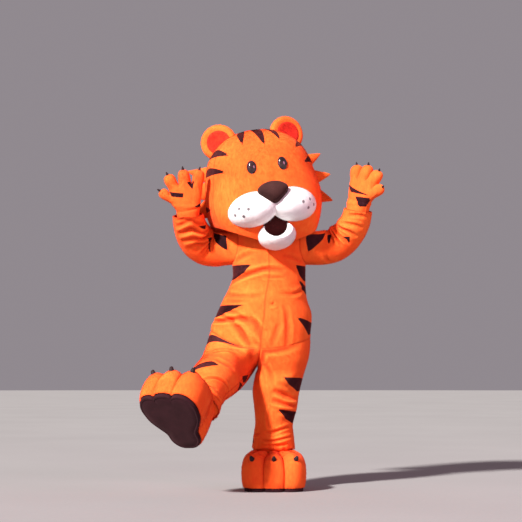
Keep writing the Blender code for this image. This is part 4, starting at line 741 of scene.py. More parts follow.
def leg_first_ring(side):
    start, back_end = (0.0, TAU) if side > 0 else (math.pi, math.pi)
    front_angles = start + (math.pi / 2 - start) * QUARTER
    back_angles = 3 * math.pi / 2 + (back_end - 3 * math.pi / 2) * QUARTER
    row = np.zeros(1)
    front = torso_surface(row, np.array([math.pi / 2]))[0]
    back = torso_surface(row, np.array([3 * math.pi / 2]))[0]
    turns = np.concatenate([QUARTER / 2, 0.5 + QUARTER[1:] / 2])[1:-1] * math.pi
    share = ((1 - np.cos(turns)) / 2)[:, None]
    reach = np.sin(turns)[:, None] ** 0.8
    under = front + (back - front) * share + reach * np.array((CROTCH_SHIFT, 0, -CROTCH_DROP))
    ring = np.concatenate([torso_surface(0.0 * front_angles, front_angles), under,
                           torso_surface(0.0 * back_angles, back_angles)])
    return ring, np.concatenate([QUARTER / 4, 0.25 + turns / TAU, 0.75 + QUARTER / 4])


def armhole_ring(side):
    base, way = (0.0, 1.0) if side > 0 else (math.pi, -1.0)
    cut = armhole_cut(ARM_ROWS)
    front = torso_surface(ARM_ROWS, base + way * cut)
    back = torso_surface(ARM_ROWS, (base - way * cut) % TAU)
    share = (ARM_ROWS - UNDERARM_ROW) / (SHOULDER_ROW - UNDERARM_ROW) / 2
    return np.concatenate([front, back[-2::-1]]), np.concatenate([share, 1.0 - share[-2::-1]])


def tube_axes(section, side_way, ref):
    along = unit(section[3:6])
    front = unit(ref - np.dot(ref, along) * along)
    side = np.cross(front, along)
    if np.dot(side, side_way) < 0:
        side = -side
    return np.array((side, front, along))


def tube(table, height, first_ring, around, shares, side_way, ref):
    """The rings of a leg or sleeve, from its first ring; the last column repeats the first."""
    section = curve(table, np.array(0.0))
    local = (first_ring - section[:3]) @ tube_axes(section, side_way, ref).T
    turns = TAU * around
    rings = [first_ring]
    for share, lift in zip(shares[1:], height[1:]):
        section = curve(table, np.array(share))
        axes = tube_axes(section, side_way, ref)
        half_side, half_front, half_back, join = section[6:]
        join = max(join, 0.0)
        depth = np.where(np.sin(turns) > 0, half_front, half_back)
        swell = 1.0 + lift / half_side
        free = np.stack([swell * half_side * np.cos(turns), swell * depth * np.sin(turns),
                         0.0 * turns], axis=-1)
        rings.append(section[:3] + (free * (1 - join) + local * join) @ axes)
    return np.array(rings)


def gather(rings, shares, amount, waves, drop):
    """Small uneven puckers at a tube's end, where elastic draws it in."""
    middle = rings.mean(axis=1, keepdims=True)
    turns = np.linspace(0.0, TAU, rings.shape[1])
    wave = np.sin(waves * turns + 0.7 * np.sin(3 * turns)) * (0.7 + 0.3 * np.cos(5 * turns))
    reach = np.exp(-(((1.0 - shares) / 0.06) ** 2))
    down = unit(middle[-1, 0] - middle[-2, 0])
    sag = drop * (1.0 + 0.35 * np.sin(5 * turns + 1.0)) * np.exp(-(((1 - shares) / 0.05) ** 2)
                                                                )[:, None]
    rings = rings + sag[..., None] * down
    return rings + (reach[:, None] * wave * amount)[..., None] * unit(rings - middle)


def build_jumpsuit(plush):
    shared = SharedNormals()
    panels = {}
    middle = np.array((0.0, 0.0, -0.25))
    for side, side_name in ((1, "left"), (-1, "right")):
        for front in (True, False):
            rows, angles = torso_quarter(side, front)
            grid = torso_surface(rows, angles)
            shared.add(grid, outward(grid, grid_normals(grid), middle))
            along, around = rows / 17.0, angles / TAU
            stripe = wedge_distance(torso_metric(along, around), TORSO_STRIPES, torso_metric,
                                    TORSO_GIRTH)
            name = f"torso_{'front' if front else 'back'}_{side_name}"
            # The crease heights once more, here only to paint shade and highlight into the creases.
            fold = crease_height(torso_metric(along, around), TORSO_CREASES, torso_metric,
                                 TORSO_GIRTH)
            panels[name] = (grid, fold, stripe, "torso")
    tubes = (
        ("leg", "left", 1, STANDING_LEG, STANDING_FOLDS, STANDING_CREASES, STANDING_STRIPES,
         (0.0, -1.0, 0.0), (1, 0, 0)),
        ("leg", "right", -1, KICKED_LEG, KICKED_FOLDS, KICKED_CREASES, KICKED_STRIPES,
         (0.0, -1.0, 0.9), (-1, 0, 0)),
        ("sleeve", "left", 1, LEFT_SLEEVE, LEFT_SLEEVE_FOLDS, LEFT_SLEEVE_CREASES,
         LEFT_SLEEVE_STRIPES, (0.135, -1.0, -0.15), (0.5, 0, -1)),
        ("sleeve", "right", -1, RIGHT_SLEEVE, RIGHT_SLEEVE_FOLDS, RIGHT_SLEEVE_CREASES,
         RIGHT_SLEEVE_STRIPES, (-0.135, -1.0, -0.15), (-0.5, 0, -1)),
    )
    for kind, side_name, side, table, folds, creases, stripes, ref, side_way in tubes:
        first, around = leg_first_ring(side) if kind == "leg" else armhole_ring(side)
        shares = spaced(94 if kind == "leg" else 80, 0.005)
        centres = np.array(table)[:, :3]
        length = float(np.linalg.norm(np.diff(centres, axis=0), axis=1).sum())
        girth = TAU * float(np.array(table)[:, 6].mean())

        def metric(along, around, length=length, girth=girth):
            return np.stack(np.broadcast_arrays(length * along, girth * around), axis=-1)

        along_grid, around_grid = np.broadcast_arrays(shares[:, None], around[None])
        flat = metric(along_grid, around_grid)
        # The crease heights shape the cloth, and also paint shade and highlight into its creases.
        fold = crease_height(flat, creases, metric, girth) * smooth(along_grid / 0.025)
        height = fold + fold_height(folds, along_grid, around_grid)
        rings = tube(table, height, first, around, shares, side_way, np.array(ref))
        rings = gather(rings, shares, 0.0020, *((23, 0.008) if kind == "leg" else (17, 0.0)))
        shared.add(rings[:, :-1], closed_normals(rings)[:, :-1])
        stripe = wedge_distance(flat, stripes, metric, girth)
        half = int(np.argmin(abs(around - 0.5)))
        for part, cut in (("front", slice(0, half + 1)), ("back", slice(half, None))):
            panels[f"{kind}_{part}_{side_name}"] = (
                rings[:, cut], fold[:, cut], stripe[:, cut], f"{kind}_{side_name}")
    for name, (grid, fold, stripe, coat) in panels.items():
        normals = shared.of(grid)
        made, outer, triangles = wall(f"cloth_{name}", grid, normals, CLOTH, plush, fold, stripe,
                                      groove=0.0028)
        nap = np.gradient(grid, axis=0)
        if name.startswith("torso"):
            nap = -nap
        remember(coat, outer, triangles, normals.reshape(-1, 3), stripe.ravel(),
                 unit(nap).reshape(-1, 3))
        finish_piece(made, (name,))
        declare_cloth(grid)


def declare_cloth(grid):
    """Works out the flat cut's length, width and area, and keeps none of them."""
    down = np.linalg.norm(np.diff(grid, axis=0), axis=-1).sum(axis=0).max()
    across = np.linalg.norm(np.diff(grid, axis=1), axis=-1).sum(axis=1).max()
    a, b = grid[1:, :-1] - grid[:-1, :-1], grid[:-1, 1:] - grid[:-1, :-1]
    area = float(np.linalg.norm(np.cross(a, b), axis=-1).sum())
    area = min(area, across * down)


def finish_piece(made, nodes):
    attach(made, "root")
    if nodes:
        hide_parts(*nodes)
    return made


# Head.


HEAD_CENTRE = Vector((-0.045, 0.0, 0.306))
HEAD_TURN = math.radians(10.0)
HEAD_TILT = math.radians(-9.0)
HEAD_WIDTH, HEAD_DEPTH, HEAD_UP, HEAD_DOWN = 0.278, 0.262, 0.268, 0.400
CHEEK_SWELL = 0.07
TOP_ROUNDNESS, JAW_ROUNDNESS = 2.25, 3.0
RIM_SIDE_Z, RIM_FRONT_Z, RIM_BACK_Z = 0.0606, -0.034, 0.050
CROWN_ANGLE = math.radians(36.0)
FACE_HALF_ANGLE = math.radians(66.0)
MUZZLE_PAD = {"centre": (0.104, -0.228, -0.158), "radii": (0.132, 0.098, 0.088),
              "turn": 30.0, "lean": 6.0}
JAW = {"centre": (0.0, -0.222, -0.302), "radii": (0.095, 0.117, 0.073)}
MOUTH = {"centre": (0.0, -0.300, -0.262), "radii": (0.069, 0.130, 0.058)}
NOSE = {"centre": (0.0, -0.306, -0.092), "radii": (0.086, 0.054, 0.057)}
EYE = {"centre": (0.078, -0.246, 0.050), "radii": (0.027, 0.020, 0.037)}
EAR = {"centre": (0.180, 0.012, 0.232), "radius": 0.093, "half_thickness": 0.029,
       "dish": 0.017, "lean": 38.0, "turn": 14.0}
TUFTS = ((101.0, 0.082, 0.096, 0.044, 14.0), (102.0, -0.006, 0.114, 0.050, -2.0),
         (101.0, -0.094, 0.100, 0.048, -18.0))
HEAD = (Matrix.Translation(HEAD_CENTRE) @ Matrix.Rotation(HEAD_TURN, 4, "Z")
        @ Matrix.Rotation(HEAD_TILT, 4, "Y"))

# Head stripes: turn and polar angle in degrees, half width in metres. Three tapered crown
# stripes, and bars on each side; mirrored where the first value says so.
HEAD_STRIPES = (
    (False, ((2.0, 55.0, 0.002), (2.0, 42.0, 0.015), (2.0, 24.0, 0.024), (2.0, 5.0, 0.022),
             (180.0, 16.0, 0.004))),
    (True, ((27.0, 50.0, 0.002), (31.0, 39.0, 0.014), (42.0, 25.0, 0.021), (90.0, 10.0, 0.006))),
    (True, ((43.0, 62.0, 0.002), (58.0, 57.0, 0.016), (78.0, 54.0, 0.024), (106.0, 58.0, 0.004))),
    (True, ((46.0, 80.0, 0.002), (62.0, 76.0, 0.015), (84.0, 74.0, 0.022), (110.0, 76.0, 0.004))),
    (True, ((72.0, 112.0, 0.002), (88.0, 110.0, 0.012), (106.0, 109.0, 0.015),
            (124.0, 110.0, 0.003))),
    (True, ((130.0, 52.0, 0.003), (150.0, 56.0, 0.018), (172.0, 60.0, 0.003))),
    (True, ((128.0, 82.0, 0.003), (148.0, 85.0, 0.018), (170.0, 88.0, 0.003))),
    (True, ((132.0, 110.0, 0.003), (150.0, 112.0, 0.015), (170.0, 114.0, 0.003))),
)
# Whisker dots on a muzzle pad, as shares of its half width and half height.
WHISKERS = ((-0.10, -0.04), (0.27, 0.14), (0.18, -0.36), (0.52, -0.14))
WHISKER_RADIUS = 0.0082


def placed(points):
    """Points of the head's own frame in the row frame."""
    matrix = np.array(HEAD)
    return points @ matrix[:3, :3].T + matrix[:3, 3]


def head_radius(way):
    x, y, z = np.moveaxis(np.asarray(way, float), -1, 0)
    power = TOP_ROUNDNESS + (JAW_ROUNDNESS - TOP_ROUNDNESS) * smooth((0.15 - z) / 0.6)
    width = HEAD_WIDTH * (1.0 + CHEEK_SWELL * np.exp(-(((z + 0.35) / 0.35) ** 2)))
    up = np.where(z > 0, HEAD_UP, HEAD_DOWN)
    total = (abs(x / width) ** power + abs(y / HEAD_DEPTH) ** power + abs(z / up) ** power)
    return total ** (-1.0 / power)


def head_surface(turn, polar):
    """turn 0 is the face and grows to the wearer's left; polar is measured from the crown."""
    turn, polar = np.broadcast_arrays(turn, polar)
    way = np.stack([np.sin(polar) * np.sin(turn), -np.sin(polar) * np.cos(turn),
                    np.cos(polar)], axis=-1)
    return head_radius(way)[..., None] * way


def rim_polar(turns):
    side = np.sin(turns) ** 2
    end = np.where(np.cos(turns) > 0, RIM_FRONT_Z, RIM_BACK_Z)
    level = end + (RIM_SIDE_Z - end) * side
    low = np.full(turns.shape, math.radians(60.0))
    high = np.full(turns.shape, math.radians(172.0))
    for _ in range(40):
        middle = (low + high) / 2
        above = placed(head_surface(turns, middle))[..., 2] > level
        low, high = np.where(above, middle, low), np.where(above, high, middle)
    return low


def build_head(materials):
    plush = materials["plush"]
    spans = {"head_face": (-FACE_HALF_ANGLE, FACE_HALF_ANGLE, 44),
             "head_side_left": (FACE_HALF_ANGLE, math.pi, 36),
             "head_side_right": (math.pi, TAU - FACE_HALF_ANGLE, 36)}
    spines = []
    for mirrored, rows in HEAD_STRIPES:
        for side in ((1, -1) if mirrored else (1,)):
            spine = []
            for turn, polar, width in rows:
                spot = head_surface(np.radians(side * turn), np.radians(polar))
                spine.append([*spot, width])
            spines.append(spine)
    shared = SharedNormals()
    grids = {}
    up_shares = spaced(46, 0.008)
    for name, (first, last, steps) in spans.items():
        turns = first + (last - first) * spaced(steps, 0.012)
        rim = rim_polar(turns)
        polar = rim + (CROWN_ANGLE - rim) * up_shares[:, None]
        grids[name] = (head_surface(turns[None], polar), turns)
    everything = []
    all_turns = np.concatenate([grids[name][1][:-1] for name in spans])
    for name in spans:
        grid = grids[name][0]
        shared.add(grid, outward(grid, grid_normals(grid), np.zeros(3)))
    crown_polar = CROWN_ANGLE * (1 - spaced(18, 0.02))[:-1]
    crown = head_surface(all_turns[None], crown_polar[:, None] + 0.0 * all_turns[None])
    closed = np.concatenate([crown, crown[:, :1]], axis=1)
    shared.add(closed, closed_normals(closed))
    for name in spans:
        grid, _ = grids[name]
        normals = shared.of(grid)
        stripe = stripe_distance(grid, spines)
        made, outer, triangles = wall(name.replace("head_", "plush_head_"), placed(grid),
                                      turn_only(normals), HEAD_FOAM, plush,
                                      0.0, stripe, groove=0.0022)
        if name == "head_face":
            cut_mouth(made)
            inside = mouth_share(grid) < 1.0
            keep = ~inside.ravel()[triangles].any(axis=1)
            triangles = triangles[keep]
        nap = turn_only(-grid_normals_down(grid))
        remember("head", outer, triangles, turn_only(normals).reshape(-1, 3), stripe.ravel(),
                 nap.reshape(-1, 3))
        finish_piece(made, (name,))
        everything.append(made)
    build_crown(crown, shared, spines, plush)
    return shared


def grid_normals_down(grid):
    return unit(np.gradient(grid, axis=0))


def turn_only(vectors):
    return vectors @ np.array(HEAD)[:3, :3].T


def mouth_share(points):
    x, z = points[..., 0] / MOUTH["radii"][0], (points[..., 2] - MOUTH["centre"][2])
    inside = x**2 + (z / MOUTH["radii"][2]) ** 2
    return np.where(points[..., 1] < 0, inside, 9.0)


def cut_mouth(face):
    """Cuts the mouth's opening through the face, and keeps the face's own smooth normals."""
    half_width, _, half_height = MOUTH["radii"]
    bm = bmesh.new()
    bmesh.ops.create_uvsphere(bm, u_segments=48, v_segments=28, radius=1.0)
    bm.transform(HEAD @ Matrix.Translation((0.0, -0.26, MOUTH["centre"][2]))
                 @ Matrix.Diagonal((half_width, 0.16, half_height, 1.0)))
    mesh = bpy.data.meshes.new("mouth_cutter")
    bm.to_mesh(mesh)
    bm.free()
    cutter = bpy.data.objects.new("mouth_cutter", mesh)
    bpy.context.scene.collection.objects.link(cutter)
    cut_away(face, cutter)
    bpy.data.objects.remove(cutter)


def apply_modifiers(target):
    bpy.context.view_layer.update()
    graph = bpy.context.evaluated_depsgraph_get()
    mesh = bpy.data.meshes.new_from_object(target.evaluated_get(graph))
    target.modifiers.clear()
    target.data = mesh
    mesh.shade_smooth()


def build_crown(crown, shared, spines, plush):
    rows, columns = crown.shape[:2]
    normals = shared.of(crown)
    top = head_surface(0.0, 0.0)
    points, ways = [], []
    for depth in (0.0, HEAD_FOAM):
        near = np.cumsum(np.linalg.norm(np.diff(crown, axis=0, prepend=crown[:1]), axis=-1), 0)
        groove = 0.0022 * np.exp(-((near / 0.0042) ** 2)) if depth == 0.0 else 0.0 * near
        layer = crown - (depth + groove)[..., None] * normals
        points += [layer.reshape(-1, 3), (top - np.array((0, 0, depth)))[None]]
        sign = 1.0 if depth == 0.0 else -1.0
        ways += [sign * normals.reshape(-1, 3), np.array(((0.0, 0.0, sign),))]
    points, ways = np.concatenate(points), np.concatenate(ways)
    count = rows * columns + 1
    faces = []
    for layer in range(2):
        start = layer * count
        index = start + np.arange(rows * columns).reshape(rows, columns)
        after = np.roll(index, -1, axis=1)
        quads = np.stack([index[:-1], after[:-1], after[1:], index[1:]], axis=-1).reshape(-1, 4)
        fans = [(index[-1, j], after[-1, j], start + count - 1) for j in range(columns)]
        if layer:
            quads = quads[:, ::-1]
            fans = [fan[::-1] for fan in fans]
        faces += [tuple(q) for q in quads] + [tuple(f) for f in fans]
    for j in range(columns):
        k = (j + 1) % columns
        faces.append((k, j, j + count, k + count))
    stripe = stripe_distance(points, spines)
    made = add_object("plush_head_crown", placed(points), faces, plush, turn_only(ways),
                      {"stripe": stripe})
    outer = placed(points[:count])
    triangles = []
    for face in faces:
        if max(face) < count:
            triangles.append(face[:3])
            if len(face) == 4:
                triangles.append((face[0], face[2], face[3]))
    nap = unit(outer - placed(top)[None]) + 1e-6
    remember("head", outer, np.array(triangles), turn_only(ways[:count]), stripe[:count],
             unit(nap))
    finish_piece(made, ("head_crown",))


def mesh_object(name, bm, material, matrix=None):
    mesh = bpy.data.meshes.new(name)
    bm.to_mesh(mesh)
    bm.free()
    if matrix is not None:
        mesh.transform(matrix)
    mesh.materials.append(material)
    mesh.shade_smooth()
    made = bpy.data.objects.new(name, mesh)
    bpy.context.scene.collection.objects.link(made)
    return made


def soft_body(name, parts, material, voxel, rounds):
    """Stuffed forms sewn together: ellipsoids fused, then relaxed so that they crease softly."""
    bm = bmesh.new()
    for centre, radii, rotation in parts:
        sphere = bmesh.ops.create_uvsphere(bm, u_segments=48, v_segments=32, radius=1.0)
        shape = Matrix.Translation(centre) @ rotation @ Matrix.Diagonal((*radii, 1.0))
        bmesh.ops.transform(bm, matrix=shape, verts=sphere["verts"])
    made = mesh_object(name, bm, material)
    fuse_and_relax(made, voxel, rounds)
    return made


def fuse_and_relax(made, voxel, rounds):
    fuse = made.modifiers.new("Fuse", "REMESH")
    fuse.mode, fuse.voxel_size, fuse.use_smooth_shade = "VOXEL", voxel, True
    relax = made.modifiers.new("Relax", "SMOOTH")
    relax.factor, relax.iterations = 0.5, rounds
    apply_modifiers(made)


def vertex_array(mesh):
    points = np.empty(len(mesh.vertices) * 3)
    mesh.vertices.foreach_get("co", points)
    return points.reshape(-1, 3)


def set_vertices(mesh, points):
    mesh.vertices.foreach_set("co", points.ravel())
    mesh.update()


def head_solid(depth):
    """The helmet's outside as a closed body, drawn in by a depth, to cut what sits on it."""
    spokes, rows = 96, 56
    turns = np.arange(spokes) * TAU / spokes
    polar = rim_polar(turns) * np.linspace(1.0, 0.02, rows)[:, None]
    grid = head_surface(turns[None], polar)
    grid = grid * (1.0 - depth / np.linalg.norm(grid, axis=-1, keepdims=True))
    bm = bmesh.new()
    rings = [[bm.verts.new(p) for p in ring] for ring in grid]
    for low, high in zip(rings, rings[1:]):
        for j in range(spokes):
            k = (j + 1) % spokes
            bm.faces.new((low[j], low[k], high[k], high[j]))
    for ring, level in ((rings[0], grid[0].mean(axis=0)), (rings[-1], grid[-1].mean(axis=0))):
        centre = bm.verts.new(level)
        for j in range(spokes):
            bm.faces.new((ring[j], ring[(j + 1) % spokes], centre))
    bmesh.ops.recalc_face_normals(bm, faces=bm.faces)
    return bm_object("head_solid", bm)


def bm_object(name, bm):
    mesh = bpy.data.meshes.new(name)
    bm.to_mesh(mesh)
    bm.free()
    made = bpy.data.objects.new(name, mesh)
    bpy.context.scene.collection.objects.link(made)
    return made


def cut_away(target, cutter):
    """Takes the cutter's body out of the target; both are in the same frame."""
    boolean = target.modifiers.new("Cut", "BOOLEAN")
    boolean.operation, boolean.object, boolean.solver = "DIFFERENCE", cutter, "EXACT"
    apply_modifiers(target)


def remember_mesh(coat, made, stripe=None, nap_way=(0.0, 0.0, -1.0), keep=None):
    """Keeps a whole mesh's outside for its pile."""
    mesh = made.data
    mesh.calc_loop_triangles()
    triangles = np.empty(len(mesh.loop_triangles) * 3, np.int64)
    mesh.loop_triangles.foreach_get("vertices", triangles)
    normals = np.empty(len(mesh.vertices) * 3)
    mesh.vertex_normals.foreach_get("vector", normals)
    points, normals = vertex_array(mesh), normals.reshape(-1, 3)
    nap = np.array(nap_way) - (normals @ np.array(nap_way))[:, None] * normals
    stripe = np.full(len(points), 0.05) if stripe is None else stripe
    triangles = triangles.reshape(-1, 3)
    if keep is not None:
        triangles = triangles[keep[triangles].all(axis=1)]
    remember(coat, points, triangles, normals, stripe, unit(nap + 1e-9))


def add_values(made, key, values):
    layer = made.data.attributes.new(key, "FLOAT", "POINT")
    layer.data.foreach_set("value", np.asarray(values, np.float32))


def spin(angle, axis):
    return Matrix.Rotation(math.radians(angle), 4, axis)


def build_face_parts(materials):
    cutter = head_solid(0.0025)
    x, y, z = MUZZLE_PAD["centre"]
    pads = [((side * x, y, z), MUZZLE_PAD["radii"],
             spin(side * MUZZLE_PAD["turn"], "Z") @ spin(side * MUZZLE_PAD["lean"], "Y"))
            for side in (1, -1)]
    muzzle = soft_body("plush_muzzle", pads, materials["white"], 0.004, 6)
    cut_away(muzzle, cutter)
    points = vertex_array(muzzle.data)
    dots = np.full(len(points), 0.05)
    for centre, radii, turned in pads:
        side = math.copysign(1.0, centre[0])
        from_pad = points - np.array(centre)
        for across, level in WHISKERS:
            out = math.sqrt(1.0 - across**2 - level**2)
            way = turned @ Vector((side * across * radii[0], -out * radii[1], level * radii[2]))
            way = np.array(way.normalized())
            along = from_pad @ way
            away = np.linalg.norm(from_pad - along[:, None] * way, axis=1) - WHISKER_RADIUS
            dots = np.where(along > 0.03, np.minimum(dots, away), dots)
    add_values(muzzle, "stripe", dots)
    muzzle.data.transform(HEAD)
    remember_mesh("white", muzzle, dots)
    finish_piece(muzzle, ("muzzle",))
    build_jaw(materials["white"], cutter)
    build_nose(materials["nose"], cutter)
    build_eyes(materials["eye"], cutter)
    build_gauze(materials["gauze"])
    build_ears(materials, cutter)
    build_tufts(materials["plush"], cutter)
    bpy.data.objects.remove(cutter)


def build_jaw(material, cutter):
    """The lower jaw, hollowed by the mouth's space, which leaves a rounded lip round it."""
    bm = bmesh.new()
    bmesh.ops.create_uvsphere(bm, u_segments=48, v_segments=32, radius=1.0)
    bm.transform(Matrix.Translation(JAW["centre"]) @ Matrix.Diagonal((*JAW["radii"], 1.0)))
    jaw = mesh_object("plush_jaw", bm, material)
    bm = bmesh.new()
    bmesh.ops.create_uvsphere(bm, u_segments=48, v_segments=32, radius=1.0)
    bm.transform(Matrix.Translation(MOUTH["centre"]) @ Matrix.Diagonal((*MOUTH["radii"], 1.0)))
    space = bm_object("mouth_space", bm)
    cut_away(jaw, space)
    bpy.data.objects.remove(space)
    fuse_and_relax(jaw, 0.0035, 8)
    cut_away(jaw, cutter)
    add_values(jaw, "stripe", np.full(len(jaw.data.vertices), 0.05))
    jaw.data.transform(HEAD)
    remember_mesh("white", jaw)
    finish_piece(jaw, ("jaw",))


def build_nose(material, cutter):
    nose = soft_body("felt_nose", [(NOSE["centre"], NOSE["radii"], Matrix())], material, 0.003, 3)
    points = vertex_array(nose.data)
    down = (NOSE["centre"][2] - points[:, 2]) / NOSE["radii"][2]
    points[:, 0] *= 1.0 - 0.42 * smooth((down + 0.6) / 1.6)
    set_vertices(nose.data, points)
    cut_away(nose, cutter)
    nose.data.transform(HEAD)
    finish_piece(nose, ("nose",))


def build_eyes(gloss, cutter):
    for side, side_name in ((1, "left"), (-1, "right")):
        x, y, z = EYE["centre"]
        bm = bmesh.new()
        bmesh.ops.create_uvsphere(bm, u_segments=48, v_segments=32, radius=1.0)
        bm.transform(Matrix.Translation((side * x, y, z)) @ Matrix.Diagonal((*EYE["radii"], 1)))
        eye = mesh_object(f"glossy_eye_{side_name}", bm, gloss)
        cut_away(eye, cutter)
        eye.data.transform(HEAD)
        finish_piece(eye, (f"eye_{side_name}",))


def under_face(across, level, depth):
    """Points some depth under the front of the face, at the head's own x and z."""
    front = np.full(across.shape, -0.26)
    for _ in range(25):
        way = unit(np.stack([across, front, level], axis=-1))
        reach = head_radius(way) - depth
        front = -np.sqrt(np.maximum(reach**2 - across**2 - level**2, 0.01))
    return np.stack([across, front, level], axis=-1)


def build_gauze(material):
    """A see-through looking cloth set in the mouth, a little hollow in the middle."""
    rings, spokes = 14, 64
    points = []
    for depth in (0.006, 0.0075):
        for i in range(rings + 1):
            share = i / rings
            turns = np.arange(spokes) * TAU / spokes
            across = share * MOUTH["radii"][0] * 0.99 * np.cos(turns)
            level = MOUTH["centre"][2] + share * MOUTH["radii"][2] * 0.99 * np.sin(turns)
            points.append(under_face(across, level, depth + 0.014 * (1 - share**2)))
    points = np.array(points).reshape(-1, 3)
    count = (rings + 1) * spokes
    faces = []
    for layer in range(2):
        for i in range(1, rings):
            for j in range(spokes):
                k = (j + 1) % spokes
                quad = [layer * count + v for v in (i * spokes + j, i * spokes + k,
                                                    (i + 1) * spokes + k, (i + 1) * spokes + j)]
                faces.append(quad if layer else quad[::-1])
        fan = [layer * count + spokes + j for j in range(spokes)]
        faces.append(fan if not layer else fan[::-1])
    for j in range(spokes):
        k = (j + 1) % spokes
        low = rings * spokes
        faces.append((low + j, low + k, count + low + k, count + low + j))
    bm = bmesh.new()
    made = [bm.verts.new(p) for p in points]
    for face in faces:
        bm.faces.new([made[v] for v in face])
    loose = [v for v in bm.verts if not v.link_faces]
    bmesh.ops.delete(bm, geom=loose, context="VERTS")
    bmesh.ops.recalc_face_normals(bm, faces=bm.faces)
    gauze = mesh_object("mouth_gauze_cloth", bm, material, HEAD)
    finish_piece(gauze, ("mouth_gauze",))


def ear_profile(share):
    edge = np.sqrt(np.maximum(0.0, 1.0 - share**4))
    half = EAR["half_thickness"] * (0.35 + 0.65 * edge)
    return half, EAR["dish"] * np.maximum(0.0, 1 - share**2) ** 1.2


def ear_frame(side):
    x, y, z = EAR["centre"]
    return (Matrix.Translation((side * x, y, z)) @ spin(side * EAR["turn"], "Z")
            @ spin(side * EAR["lean"], "Y"))


def build_ears(materials, cutter):
    for side, side_name in ((1, "left"), (-1, "right")):
        frame_matrix = HEAD @ ear_frame(side)
        spokes = 72
        turns = np.arange(spokes) * TAU / spokes
        shares = np.concatenate([np.linspace(0.04, 0.9, 18), (0.94, 0.97, 0.99, 1.0)])
        layers = []
        for way in (-1.0, 1.0):
            half, dish = ear_profile(shares)
            round_off = np.sqrt(np.maximum(0.0, 1.0 - np.maximum(0.0, (shares - 0.80) / 0.20) ** 2))
            y = way * half * round_off + (dish if way < 0 else 0.0) * round_off
            grid = np.stack([np.outer(shares, np.cos(turns)) * EAR["radius"] * 1.01,
                             np.repeat(y[:, None], spokes, axis=1),
                             np.outer(shares, np.sin(turns)) * EAR["radius"] * 1.01], axis=-1)
            layers.append(grid)
        front, back = layers
        points = np.concatenate([front.reshape(-1, 3), back[:-1].reshape(-1, 3)])
        rows = len(shares)
        index = np.arange(rows * spokes).reshape(rows, spokes)
        other = np.concatenate([rows * spokes + np.arange((rows - 1) * spokes).reshape(-1, spokes),
                                index[-1:]])
        bm = bmesh.new()
        made = [bm.verts.new(p) for p in points]
        for sheet in (index, other):
            after = np.roll(sheet, -1, axis=1)
            for i in range(rows - 1):
                for j in range(spokes):
                    corners = (sheet[i, j], after[i, j], after[i + 1, j], sheet[i + 1, j])
                    bm.faces.new([made[v] for v in corners])
            bm.faces.new([made[v] for v in sheet[0]])
        bmesh.ops.recalc_face_normals(bm, faces=bm.faces)
        ear = mesh_object(f"plush_ear_{side_name}", bm, materials["plush"], ear_frame(side))
        cut_away(ear, cutter)
        ear.data.transform(HEAD)
        add_values(ear, "stripe", np.full(len(ear.data.vertices), 0.05))
        remember_mesh("head", ear, nap_way=(0.0, 0.0, 1.0))
        finish_piece(ear, (f"ear_{side_name}",))
        build_inner_ear(side_name, frame_matrix, turns, materials["inner_ear"])


def build_inner_ear(side_name, matrix, turns, material):
    """The redder cloth sewn into the ear's dish, crowned a little at its edge; its colour is
    darkened with painted shade of the dish.
    """
    spokes = len(turns)
    shares = np.linspace(0.03, 0.66, 16)
    grids = []
    for lift in (0.0042, 0.0012):
        half, dish = ear_profile(shares)
        edge = smooth((shares - 0.58) / 0.08)
        y = -half + dish - lift * (1 - 0.5 * edge)
        grids.append(np.stack([np.outer(shares, np.cos(turns)) * EAR["radius"],
                               np.repeat(y[:, None], spokes, axis=1),
                               np.outer(shares, np.sin(turns)) * EAR["radius"]], axis=-1))
    bm = bmesh.new()
    sheets = []
    for grid in grids:
        sheets.append([[bm.verts.new(p) for p in row] for row in grid])
    for sheet in sheets:
        for low, high in zip(sheet, sheet[1:]):
            for j in range(spokes):
                k = (j + 1) % spokes
                bm.faces.new((low[j], low[k], high[k], high[j]))
        bm.faces.new(sheet[0])
    for j in range(spokes):
        k = (j + 1) % spokes
        bm.faces.new((sheets[0][-1][j], sheets[0][-1][k], sheets[1][-1][k], sheets[1][-1][j]))
    bmesh.ops.recalc_face_normals(bm, faces=bm.faces)
    inner = mesh_object(f"plush_ear_inner_{side_name}", bm, material, matrix)
    remember_mesh("inner_ear", inner)
    finish_piece(inner, (f"ear_inner_{side_name}",))


